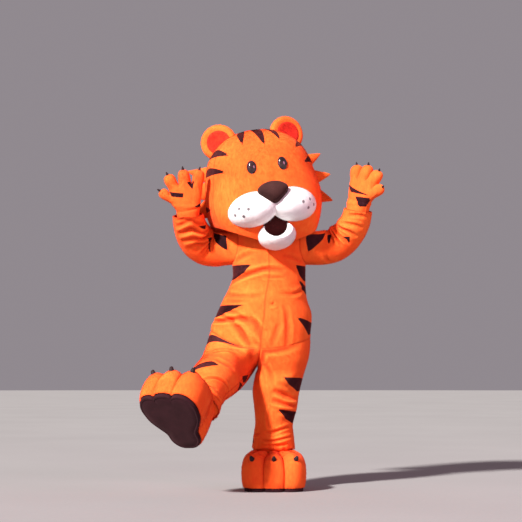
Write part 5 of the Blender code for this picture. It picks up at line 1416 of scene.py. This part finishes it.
def build_tufts(plush, cutter):
    for side, side_name in ((1, "left"), (-1, "right")):
        for number, (turn, height, length, half_width, droop) in enumerate(TUFTS, start=1):
            angle = side * math.radians(turn)
            way = unit(np.array((math.sin(angle), -math.cos(angle), height / HEAD_WIDTH)))
            root = Vector(head_radius(way) * way)
            lean = math.radians(droop)
            out = Vector((side * math.cos(lean), 0.16, math.sin(lean))).normalized()
            up = Vector((0.0, 0.0, 1.0))
            flat = (up - up.dot(out) * out).normalized()
            axes = Matrix((flat, out.cross(flat), out)).transposed().to_4x4()
            sunk, rings, spokes = 0.016, 22, 28
            bm = bmesh.new()
            made = []
            for i in range(rings + 1):
                share = i / rings
                width = half_width * (1.0 - 0.94 * share**1.15)
                thick = 0.019 * (1.0 - 0.86 * share**1.4)
                tip = math.sqrt(max(0.0, 1.0 - max(0.0, (share - 0.93) / 0.07) ** 2))
                bend = 0.010 * share**2 * (1 if number < 3 else -1)
                ring = []
                for j in range(spokes):
                    t = TAU * j / spokes
                    ring.append(bm.verts.new((width * max(tip, 0.05) * math.cos(t) + bend,
                                              thick * max(tip, 0.05) * math.sin(t),
                                              -sunk + (length + sunk) * share)))
                made.append(ring)
            for low, high in zip(made, made[1:]):
                for j in range(spokes):
                    k = (j + 1) % spokes
                    bm.faces.new((low[j], low[k], high[k], high[j]))
            bm.faces.new(made[0][::-1])
            bm.faces.new(made[-1])
            bmesh.ops.recalc_face_normals(bm, faces=bm.faces)
            name = f"cheek_tuft_{side_name}_{number}"
            tuft = mesh_object("plush_" + name, bm, plush, Matrix.Translation(root) @ axes)
            cut_away(tuft, cutter)
            tuft.data.transform(HEAD)
            add_values(tuft, "stripe", np.full(len(tuft.data.vertices), 0.05))
            remember_mesh("head", tuft, nap_way=tuple(HEAD.to_3x3() @ out))
            finish_piece(tuft, (name,))


# Boots.


BOOT_CENTRE_Y = -0.060
BOOT_PLAN = ((0, 0.214), (22, 0.224), (40, 0.220), (62, 0.170), (90, 0.118), (120, 0.102),
             (147, 0.135), (164, 0.150), (180, 0.150))
BOOT_PROFILE = ((1.00, 0.00, 0.8), (1.05, 0.16, 1.0), (1.07, 0.40, 1.0), (1.05, 0.63, 1.0),
                (0.96, 0.82, 0.9), (0.74, 0.94, 0.7), (0.40, 0.99, 0.4), (0.00, 1.00, 0.0))
BOOT_HEIGHT = 0.184
TOE_GROOVE = 0.022
TOE_GROOVE_ANGLE = 14.0
ANKLE_RADIUS = 0.095
COLLAR = ((0.214, 0.10472), (0.232, 0.100))
SOLE_THICKNESS = 0.018
STANDING_BOOT = Matrix.Translation((0.024, 0.010, FLOOR))
KICK_SOLE_WAY = Vector((-0.31, -0.63, -0.70))
KICK_TOE_WAY = Vector((-0.36, -0.60, 0.70))
KICKED_ANKLE = Vector((-0.342, -0.464, -0.836))
HEM_HEIGHT = 0.210


def boot_radius(degrees):
    angles = np.array([row[0] for row in BOOT_PLAN], float)
    a = abs((degrees + 180.0) % 360.0 - 180.0)
    place = np.interp(a, angles, np.arange(len(angles)))
    return curve([row[1] for row in BOOT_PLAN], place / (len(angles) - 1))[..., 0]


def toe_groove(degrees):
    off = abs(abs(degrees) - TOE_GROOVE_ANGLE)
    return 0.011 * np.maximum(0.0, 1.0 - off / 10.0) ** 1.6 + 0.007 * np.maximum(
        0.0, 1.0 - off / 2.5) ** 1.5


def toe_swell(degrees):
    """How round each of the three toes stands, from 0 between them to 1 at its middle."""
    a = abs((degrees + 180.0) % 360.0 - 180.0)
    return np.where(a < 3 * TOE_GROOVE_ANGLE, np.cos(np.pi * a / (2 * TOE_GROOVE_ANGLE)) ** 2, 0.0)


def ankle_way(angles):
    reach = 0.18
    return unit(np.stack([reach * np.sin(angles),
                          -reach * np.cos(angles) + BOOT_CENTRE_Y * 0.5], axis=-1))


def boot_surface(degrees, rows):
    """Rows 0 to 1 climb the boot's outside from the sole's edge to the ankle."""
    degrees, rows = np.broadcast_arrays(np.asarray(degrees, float), np.asarray(rows, float))
    angles = np.radians(degrees)
    reach, height, groove = np.moveaxis(curve(BOOT_PROFILE, rows), -1, 0)
    way = np.stack([np.sin(angles), -np.cos(angles)], axis=-1)
    front = np.maximum(0.0, np.cos(angles))
    bulge = 1.0 + (np.maximum(reach, 1.0) - 1.0) * (0.5 + 0.5 * front)
    swell = toe_swell(degrees) * groove
    plan = boot_radius(degrees) * bulge - toe_groove(degrees) * groove + 0.006 * (swell - 0.3)
    edge = plan[..., None] * way + np.array((0.0, BOOT_CENTRE_Y))
    ankle = ANKLE_RADIUS * ankle_way(angles)
    flat = ankle + (edge - ankle) * np.minimum(reach, 1.0)[..., None]
    top = SOLE_THICKNESS + BOOT_HEIGHT * (1.0 - 0.05 * front) * height
    top = top - 1.3 * toe_groove(degrees) * groove * height + 0.020 * (swell - 0.15) * height
    return np.concatenate([flat, top[..., None]], axis=-1)


def boot_matrix(kicked):
    if not kicked:
        return STANDING_BOOT
    up = -KICK_SOLE_WAY.normalized()
    toe = (KICK_TOE_WAY - KICK_TOE_WAY.dot(up) * up).normalized()
    across = up.cross(toe)
    axes = Matrix((-across, -toe, up)).transposed()
    if axes.determinant() < 0:
        axes = Matrix((across, -toe, up)).transposed()
    return Matrix.Translation(KICKED_ANKLE - HEM_HEIGHT * up) @ axes.to_4x4()


def boot_degrees():
    near = [s * (TOE_GROOVE_ANGLE + d) for s in (-1, 1) for d in (-6, -4.5, -3, -2, -1, -0.4, 0,
                                                                 0.4, 1, 2, 3, 4.5, 6)]
    rest = [d for d in np.arange(-180, 180, 4.0) if abs(abs(d) - TOE_GROOVE_ANGLE) > 7]
    seam = [-92.0, -90.8, -89.2, -88.0, 88.0, 89.2, 90.8, 92.0, 90.0, -90.0]
    return np.array(sorted(set(near + [d for d in rest if abs(abs(d) - 90) > 2.5] + seam)))


def build_boot(side_name, materials):
    matrix = boot_matrix(side_name == "right")
    degrees = boot_degrees()
    shares = np.concatenate([[0.0, 0.01], np.linspace(0.03, 1.0, 44)])
    rings = [boot_surface(degrees, share) for share in shares]
    top = rings[-1]
    ways = ankle_way(np.radians(degrees))
    for t in np.linspace(0.2, 1.0, 5):
        radius = ANKLE_RADIUS + (COLLAR[0][1] - ANKLE_RADIUS) * smooth(t)
        height = top[:, 2] + (COLLAR[0][0] - top[:, 2]) * t
        rings.append(np.concatenate([radius * ways, height[:, None]], axis=-1))
    for t in (0.5, 1.0):
        radius = COLLAR[0][1] + (COLLAR[1][1] - COLLAR[0][1]) * t
        height = np.full(len(ways), COLLAR[0][0] + (COLLAR[1][0] - COLLAR[0][0]) * t)
        rings.append(np.concatenate([radius * ways, height[:, None]], axis=-1))
    rings = np.array(rings)
    start = int(np.argmin(abs(degrees + 90.0)))
    rolled = np.roll(rings, -start, axis=1)
    closed = np.concatenate([rolled, rolled[:, :1]], axis=1)
    angle = np.append(np.roll(degrees, -start), degrees[start] + 360.0)
    angle = np.where(np.arange(len(angle)) > len(angle) - start - 2, angle % 360.0, angle)
    puckers(closed, angle)
    normals = closed_normals(closed)
    shared = SharedNormals()
    shared.add(closed[:, :-1], normals[:, :-1])
    half = int(np.argmin(abs(np.roll(degrees, -start) - 90.0)))
    for part, cut in (("toe", slice(0, half + 1)), ("heel", slice(half, None))):
        grid = closed[:, cut]
        made, outer, triangles = wall(f"plush_boot_{side_name}_{part}", grid, normals[:, cut],
                                      BOOT_FOAM, materials["plush"], 0.0, 0.05,
                                      groove=0.0016)
        made.data.transform(matrix)
        nap = -np.gradient(grid, axis=0)
        turn = np.array(matrix)[:3, :3]
        remember("boots", outer @ turn.T + np.array(matrix)[:3, 3], triangles,
                 normals[:, cut].reshape(-1, 3) @ turn.T, np.full(len(outer), 0.05),
                 unit(nap).reshape(-1, 3) @ turn.T)
        finish_piece(made, (f"boot_{side_name}_{part}",))
    build_sole(side_name, matrix, materials["sole"])
    for number, angle in enumerate((-2 * TOE_GROOVE_ANGLE, 0.0, 2 * TOE_GROOVE_ANGLE), start=1):
        root = Vector(boot_surface(angle, 3.6 / 7))
        a = math.radians(angle)
        out = Vector((math.sin(a), -math.cos(a), 0.62))
        claw = build_claw(f"felt_boot_{side_name}_claw_{number}", root, out, 0.019, 0.0125, 0.45,
                          materials["claw"], matrix, Vector((0, 0, -1)))
        finish_piece(claw, (f"boot_{side_name}_claw_{number}",))


def puckers(rings, angle):
    """Soft dimples where the boot's upper is drawn in to the sole and the ankle."""
    rows = rings.shape[0]
    level = np.linspace(0.0, 1.0, rows)[:, None]
    turns = np.radians(angle)[None]
    wave = np.sin(31 * turns + 1.3 * np.sin(2 * turns)) * (0.6 + 0.4 * np.sin(7 * turns + 1))
    low = 0.0011 * np.exp(-((level / 0.07) ** 2)) * wave
    fold = 0.0035 * np.exp(-(((level - 0.80 - 0.02 * np.sin(2 * turns)) / 0.030) ** 2))
    fold = fold * np.maximum(0.0, np.cos(turns + 0.5)) - 0.0030 * np.exp(
        -(((level - 0.66 - 0.03 * np.sin(turns)) / 0.035) ** 2)) * np.maximum(0, np.cos(turns))
    normals = closed_normals(rings)
    rings += (low + fold)[..., None] * normals


def build_sole(side_name, matrix, material):
    inset, edge = 0.007, 0.004
    degrees = boot_degrees()
    angles = np.radians(degrees)
    way = np.stack([np.sin(angles), -np.cos(angles)], axis=-1)
    radius = boot_radius(degrees) - toe_groove(degrees) + 0.006 * (toe_swell(degrees) - 0.3) - inset
    rings = []
    for shrink, height in ((0.0, SOLE_THICKNESS), (0.0, edge), (0.0012, 0.0016), (edge, 0.0),
                           (0.012, 0.0), (0.014, 0.0009), (0.016, 0.0), (0.05, 0.0)):
        flat = (radius - shrink)[:, None] * way + np.array((0.0, BOOT_CENTRE_Y))
        rings.append(np.concatenate([flat, np.full((len(way), 1), height)], axis=-1))
    bm = bmesh.new()
    made = [[bm.verts.new(p) for p in ring] for ring in rings]
    for low, high in zip(made, made[1:]):
        for j in range(len(low)):
            k = (j + 1) % len(low)
            bm.faces.new((low[j], low[k], high[k], high[j]))
    for ring, level in ((made[0], SOLE_THICKNESS), (made[-1], 0.0)):
        centre = bm.verts.new((0.0, BOOT_CENTRE_Y, level))
        for j in range(len(ring)):
            bm.faces.new((ring[j], ring[(j + 1) % len(ring)], centre))
    bmesh.ops.recalc_face_normals(bm, faces=bm.faces)
    sole = mesh_object(f"felt_boot_{side_name}_sole", bm, material, matrix)
    sole.data.set_sharp_from_angle(angle=math.radians(40))
    finish_piece(sole, (f"boot_{side_name}_sole",))


def build_claw(name, root, out, length, radius, taper, material, matrix, curl):
    """A small tapered claw that curls a little towards its tip."""
    out = out.normalized()
    side = out.cross(curl).normalized()
    down = side.cross(out).normalized()
    rings, spokes, sunk = 10, 16, 0.006
    bm = bmesh.new()
    made = []
    for i in range(rings + 1):
        share = i / rings
        size = radius * (1.0 - taper * share**1.6) * math.sqrt(
            max(0.02, 1.0 - max(0.0, (share - 0.85) / 0.15) ** 2))
        centre = root + out * (-sunk + (length + sunk) * share) - down * (0.004 * share**2)
        made.append([bm.verts.new(centre + size * (math.cos(t) * side + math.sin(t) * down))
                     for t in np.arange(spokes) * TAU / spokes])
    for low, high in zip(made, made[1:]):
        for j in range(spokes):
            k = (j + 1) % spokes
            bm.faces.new((low[j], low[k], high[k], high[j]))
    bm.faces.new(made[0])
    bm.faces.new(made[-1])
    bmesh.ops.recalc_face_normals(bm, faces=bm.faces)
    return mesh_object(name, bm, material, matrix)


# Mitts.


MITT_RINGS = ((-0.038, 0.056, 0.053, 0.0), (0.012, 0.057, 0.052, 0.0),
              (0.068, 0.072, 0.048, 0.010), (0.116, 0.085, 0.042, 0.020),
              (0.146, 0.089, 0.038, 0.026))
FINGER_HALF = 0.033
FINGER_LEAN = (-20.0, -3.0, 14.0)
FINGER_LENGTH = (0.072, 0.088, 0.080)
THUMB_LENGTH = 0.070
THUMB_LEAN = 50.0
CLAW_LENGTH = 0.027
CLAW_RADIUS = 0.0092
WRISTS = {"right": (Vector((-0.4092, -0.1457, 0.1147)), Vector((-0.08, -0.30, 0.95)), 6.0),
          "left": (Vector((0.4554, -0.0783, 0.1502)), Vector((0.10, -0.22, 0.96)), -50.0)}
# Mitt stripes: whether on the palm side, then the corners of each as the mitt's own x and z.
MITT_STRIPES = {
    "right": ((True, ((-0.082, 0.128), (-0.016, 0.119), (-0.020, 0.101), (-0.075, 0.108))),
              (True, ((0.010, 0.170), (0.044, 0.171), (0.032, 0.136))),
              (True, ((0.080, 0.062), (0.036, 0.050), (0.084, 0.034))),
              (False, ((-0.078, 0.120), (-0.018, 0.104), (-0.074, 0.094))),
              (False, ((0.080, 0.092), (0.022, 0.078), (0.078, 0.064))),
              (False, ((-0.068, 0.054), (-0.020, 0.044), (-0.064, 0.030)))),
    "left": ((True, ((-0.080, 0.118), (-0.066, 0.118), (0.075, 0.088), (-0.034, 0.090))),
             (True, ((0.014, 0.070), (0.082, 0.074), (0.060, 0.030), (0.046, 0.026))),
             (False, ((-0.078, 0.112), (-0.018, 0.100), (-0.074, 0.086))),
             (False, ((0.080, 0.096), (0.020, 0.080), (0.078, 0.066))),
             (False, ((-0.066, 0.056), (-0.018, 0.046), (-0.062, 0.032)))),
}


def mitt_matrix(side_name):
    place, up, turn = WRISTS[side_name]
    up = up.normalized()
    across = (Vector((1.0, 0.0, 0.0)) - up.x * up).normalized()
    back = up.cross(across)
    axes = Matrix((across, back, up)).transposed().to_4x4()
    return Matrix.Translation(place) @ axes @ spin(turn, "Z")


def mitt_ring(bm, row, mirror):
    height, half_width, half_thickness, set_back = row
    return [[bm.verts.new((mirror * half_width * a, set_back + way * half_thickness * r, height))
             for a, r in zip((-1.0, -0.36, 0.36, 1.0), (0.56, 1.0, 1.0, 0.56))]
            for way in (-1.0, 1.0)]


def digit(bm, base, start, way, length, half, flat):
    way = way.normalized()
    side = Vector((way.z, 0.0, -way.x)).normalized()
    thick = way.cross(side)
    middle = sum((v.co for v in base), Vector()) / 4
    last = base
    for reach, grow in ((0.55, 1.06), (1.0, 0.78)):
        centre = start + way * length * reach + thick * 0.012 * reach**2
        ring = []
        for corner in base:
            off = corner.co - middle
            across = math.copysign(half * grow, off.dot(side))
            deep = math.copysign(half * flat * grow, off.dot(thick))
            ring.append(bm.verts.new(centre + across * side + deep * thick))
        for k in range(4):
            m = (k + 1) % 4
            bm.faces.new((last[k], last[m], ring[m], ring[k]))
        last = ring
    bm.faces.new(last)
    return start + way * length * 1.02 + thick * 0.012, way


def mitt_cage(mirror):
    bm = bmesh.new()
    rings = [mitt_ring(bm, row, mirror) for row in MITT_RINGS]
    tips = []
    for level, ((front, back), (next_front, next_back)) in enumerate(zip(rings, rings[1:])):
        for k in range(3):
            bm.faces.new((front[k], front[k + 1], next_front[k + 1], next_front[k]))
            bm.faces.new((back[k + 1], back[k], next_back[k], next_back[k + 1]))
        bm.faces.new((front[3], back[3], next_back[3], next_front[3]))
        if level != 2:
            bm.faces.new((back[0], front[0], next_front[0], next_back[0]))
            continue
        base = [back[0], front[0], next_front[0], next_back[0]]
        start = sum((v.co for v in base), Vector()) / 4
        lean = math.radians(THUMB_LEAN)
        way = Vector((-mirror * math.sin(lean), 0.0, math.cos(lean)))
        tips.append(digit(bm, base, start, way, THUMB_LENGTH, FINGER_HALF * 0.92, 0.9))
    front, back = rings[-1]
    for k, (lean, length) in enumerate(zip(FINGER_LEAN, FINGER_LENGTH)):
        base = [front[k], front[k + 1], back[k + 1], back[k]]
        start = sum((v.co for v in base), Vector()) / 4
        way = Vector((mirror * math.sin(math.radians(lean)), 0.0, math.cos(math.radians(lean))))
        tips.append(digit(bm, base, start, way, length, FINGER_HALF, 0.95))
    return bm, tips


def build_mitt(side_name, mirror, materials):
    matrix = mitt_matrix(side_name)
    bm, tips = mitt_cage(mirror)
    mitt = mesh_object(f"plush_mitt_{side_name}", bm, materials["plush"])
    rounding = mitt.modifiers.new("Rounding", "SUBSURF")
    rounding.levels = rounding.render_levels = 4
    apply_modifiers(mitt)
    points = vertex_array(mitt.data)
    normals = np.empty(len(points) * 3)
    mitt.data.vertex_normals.foreach_get("vector", normals)
    normals = normals.reshape(-1, 3)
    height = -0.0022 * np.exp(-((points[:, 1] / 0.0030) ** 2)) * smooth((points[:, 2] + 0.02) / 0.03)
    height += -0.0030 * np.exp(-(((points[:, 2] - 0.034 - 0.1 * points[:, 0]) / 0.007) ** 2))
    height += 0.0026 * np.exp(-(((points[:, 2] - 0.052 + 0.1 * points[:, 0]) / 0.008) ** 2))
    height += -0.0026 * np.exp(-(((points[:, 2] - 0.140) / 0.008) ** 2)) * (points[:, 1] > 0.02)
    points = points + height[:, None] * normals
    set_vertices(mitt.data, points)
    stripe = np.full(len(points), 0.05)
    for on_palm, corners in MITT_STRIPES[side_name]:
        away = wedge_distance(points[:, [2, 0]], (tuple((z, x) for x, z in corners),),
                              lambda z, x: np.stack([z, x], axis=-1), 9.0)
        visible = (points[:, 1] < 0.5 * np.interp(points[:, 2], *np.array(MITT_RINGS).T[[0, 3]])
                   ) == on_palm
        stripe = np.where(visible, np.minimum(stripe, away), stripe)
    add_values(mitt, "stripe", stripe)
    mitt.data.transform(matrix)
    remember_mesh("mitts", mitt, stripe, nap_way=tuple(matrix.to_3x3() @ Vector((0, 0, -1))))
    thickness = mitt.modifiers.new("Wall", "SOLIDIFY")
    thickness.thickness, thickness.offset = CLOTH, -1.0
    apply_modifiers(mitt)
    finish_piece(mitt, (f"mitt_{side_name}_back", f"mitt_{side_name}_palm"))
    for number, (tip, way) in enumerate(tips, start=1):
        claw = build_claw(f"felt_mitt_{side_name}_claw_{number}", tip - 0.012 * way, way,
                          CLAW_LENGTH, CLAW_RADIUS, 0.80, materials["claw"], matrix,
                          Vector((0, 1, 0)))
        finish_piece(claw, (f"mitt_{side_name}_claw_{number}",))


# Pile.


PILE = {  # strands, length, width and lean (1 lies flat) for each coat
    "torso": (52000, 0.0062, 0.0010, 1.1), "leg_left": (38000, 0.0062, 0.0010, 1.1),
    "leg_right": (38000, 0.0062, 0.0010, 1.1), "sleeve_left": (24000, 0.0060, 0.0010, 1.1),
    "sleeve_right": (24000, 0.0060, 0.0010, 1.1), "head": (90000, 0.0070, 0.0010, 1.0),
    "white": (24000, 0.0066, 0.0010, 1.0), "inner_ear": (6000, 0.0050, 0.0008, 1.0),
    "boots": (44000, 0.0060, 0.0010, 1.0), "mitts": (26000, 0.0056, 0.0010, 1.1),
}


def build_pile(coat, count, length, width, lean, material, seed):
    """Short tapered strands of pile, laid along the nap, lit as the cloth under them."""
    random = np.random.default_rng(seed)
    points, normals, naps, stripes, triangles, start = [], [], [], [], [], 0
    for outer, faces, ways, stripe, nap in coats[coat]:
        points.append(outer)
        normals.append(ways)
        naps.append(nap)
        stripes.append(stripe)
        triangles.append(np.asarray(faces) + start)
        start += len(outer)
    points, normals, naps = map(np.concatenate, (points, normals, naps))
    stripes, triangles = np.concatenate(stripes), np.concatenate(triangles)
    corners = points[triangles]
    areas = np.linalg.norm(np.cross(corners[:, 1] - corners[:, 0],
                                    corners[:, 2] - corners[:, 0]), axis=1)
    chosen = np.searchsorted(np.cumsum(areas) / areas.sum(), random.random(count))
    chosen = np.minimum(chosen, len(triangles) - 1)
    u, v = random.random((2, count))
    flip = u + v > 1
    u, v = np.where(flip, 1 - u, u), np.where(flip, 1 - v, v)
    weights = np.stack([1 - u - v, u, v], axis=-1)[..., None]
    root = (corners[chosen] * weights).sum(axis=1)
    normal = unit((normals[triangles[chosen]] * weights).sum(axis=1))
    nap = (naps[triangles[chosen]] * weights).sum(axis=1)
    nap = unit(nap - (nap * normal).sum(axis=1, keepdims=True) * normal + 1e-9)
    stripe = (stripes[triangles[chosen]] * weights[..., 0]).sum(axis=1)
    side = np.cross(normal, nap)
    swirl = random.normal(0.0, 0.45, (count, 1))
    flow = nap * np.cos(swirl) + side * np.sin(swirl)
    way = unit(normal + lean * (0.7 + 0.6 * random.random((count, 1))) * flow)
    across = unit(np.cross(way, normal))
    reach = length * (0.65 + 0.5 * random.random((count, 1)))
    base = root - 0.0004 * normal
    half = width / 2 * (0.8 + 0.5 * random.random((count, 1)))
    verts = np.stack([base - half * across, base + half * across, base + reach * way], axis=1)
    mesh = bpy.data.meshes.new(f"pile_{coat}")
    mesh.from_pydata(verts.reshape(-1, 3), [], np.arange(3 * count).reshape(-1, 3))
    layer = mesh.attributes.new("stripe", "FLOAT", "POINT")
    layer.data.foreach_set("value", np.repeat(stripe, 3).astype(np.float32))
    mesh.materials.append(material)
    mesh.shade_smooth()
    shade = unit(normal + 0.25 * way + 0.10 * random.normal(size=(count, 3)))
    mesh.normals_split_custom_set_from_vertices(np.repeat(shade, 3, axis=0))
    made = bpy.data.objects.new(f"pile_{coat}", mesh)
    bpy.context.scene.collection.objects.link(made)
    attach(made, "root")
    return made


# Scene.


def add_sun(name, way, degrees, power, tint):
    light = bpy.data.lights.new(name, "SUN")
    light.energy = power
    light.angle = math.radians(degrees)
    light.color = tint
    lamp = bpy.data.objects.new(name, light)
    lamp.rotation_euler = way.to_track_quat("Z", "Y").to_euler()
    bpy.context.scene.collection.objects.link(lamp)


def add_area_light(name, place, target, size, power, colour):
    light = bpy.data.lights.new(name, "AREA")
    light.shape, light.size, light.energy, light.color = "DISK", size, power, colour
    made = bpy.data.objects.new(name, light)
    made.location = place
    made.rotation_euler = (Vector(target) - Vector(place)).to_track_quat("-Z", "Y").to_euler()
    bpy.context.scene.collection.objects.link(made)


def build_studio():
    bm = bmesh.new()
    bmesh.ops.create_circle(bm, cap_ends=True, segments=96, radius=60.0)
    floor = mesh_object("studio_floor", bm, floor_material(), Matrix.Translation((0, 0, FLOOR)))
    world = bpy.data.worlds.new("studio")
    world.use_nodes = True
    sky = world.node_tree.nodes["Background"]
    sky.inputs["Color"].default_value = (0.94, 0.84, 0.92, 1.0)
    sky.inputs["Strength"].default_value = 0.30
    bpy.context.scene.world = world
    centre = Vector((0.0, 0.0, -0.3))
    key_way = Vector((-0.74, -1.0, 0.76))
    add_sun("key", key_way, 5.0, 9.5, (1.0, 0.97, 0.93))
    add_area_light("warm_fill", (6.0, -6.5, 2.4), centre, 4.0, 260.0, (1.0, 0.38, 0.62))
    add_area_light("left_fill", (-5.0, -5.5, 1.2), centre, 3.0, 70.0, (1.0, 0.45, 0.65))
    scene = bpy.context.scene
    scene.view_settings.view_transform = "Standard"
    scene.view_settings.look = "None"
    scene.view_settings.exposure = 0.0
    scene.view_settings.gamma = 1.0


def build_camera():
    """The photograph's view: low, 7.5 m in front, looking slightly up."""
    image_size, focal_pixels, rise_pixels = 522, 1456.0, 117.0
    camera = bpy.data.cameras.new("camera")
    camera.sensor_width = 36.0
    camera.lens = focal_pixels / image_size * camera.sensor_width
    made = bpy.data.objects.new("camera", camera)
    made.location = (-0.04, -7.5, -0.708)
    made.rotation_euler = (math.pi / 2 + math.atan(rise_pixels / focal_pixels), 0.0, 0.0)
    bpy.context.scene.collection.objects.link(made)
    bpy.context.scene.camera = made


def build_materials():
    return {
        "plush": plush_material("orange_plush_pile", ORANGE_DEEP, ORANGE, ORANGE_LIGHT, 0.30,
                                (1.0, 0.16, 0.12), STRIPE_PILE),
        # The inner ear's red is darkened with painted shade of the ear's dish.
        "inner_ear": plush_material("inner_ear_pile", (0.45, 0.016, 0.010), INNER_EAR_RED_PAINTED_SHADE,
                                    (0.66, 0.045, 0.018), 0.15, (1.0, 0.3, 0.2)),
        "white": plush_material("white_pile", (0.74, 0.71, 0.71), WHITE, (0.90, 0.885, 0.88),
                                0.20, (1.0, 1.0, 1.0), WHISKER),
        "nose": felt_material("nose_felt_fibre", (0.020, 0.006, 0.006), (0.055, 0.020, 0.018)),
        "sole": felt_material("sole_felt_fibre", (0.014, 0.003, 0.005), (0.034, 0.009, 0.013),
                              0.9, 300.0),
        "claw": felt_material("claw_felt_fibre", (0.010, 0.005, 0.006), (0.032, 0.018, 0.020),
                              0.6),
        "eye": eye_material(),
        "gauze": gauze_material(),
    }


def main():
    build_camera()
    materials = build_materials()
    build_jumpsuit(materials["plush"])
    build_head(materials)
    build_face_parts(materials)
    build_boot("left", materials)
    build_boot("right", materials)
    build_mitt("right", 1.0, materials)
    build_mitt("left", -1.0, materials)
    finishes = {"white": materials["white"], "inner_ear": materials["inner_ear"]}
    for seed, (coat, settings) in enumerate(PILE.items(), start=1):
        build_pile(coat, *settings, finishes.get(coat, materials["plush"]), seed)
    build_studio()


main()
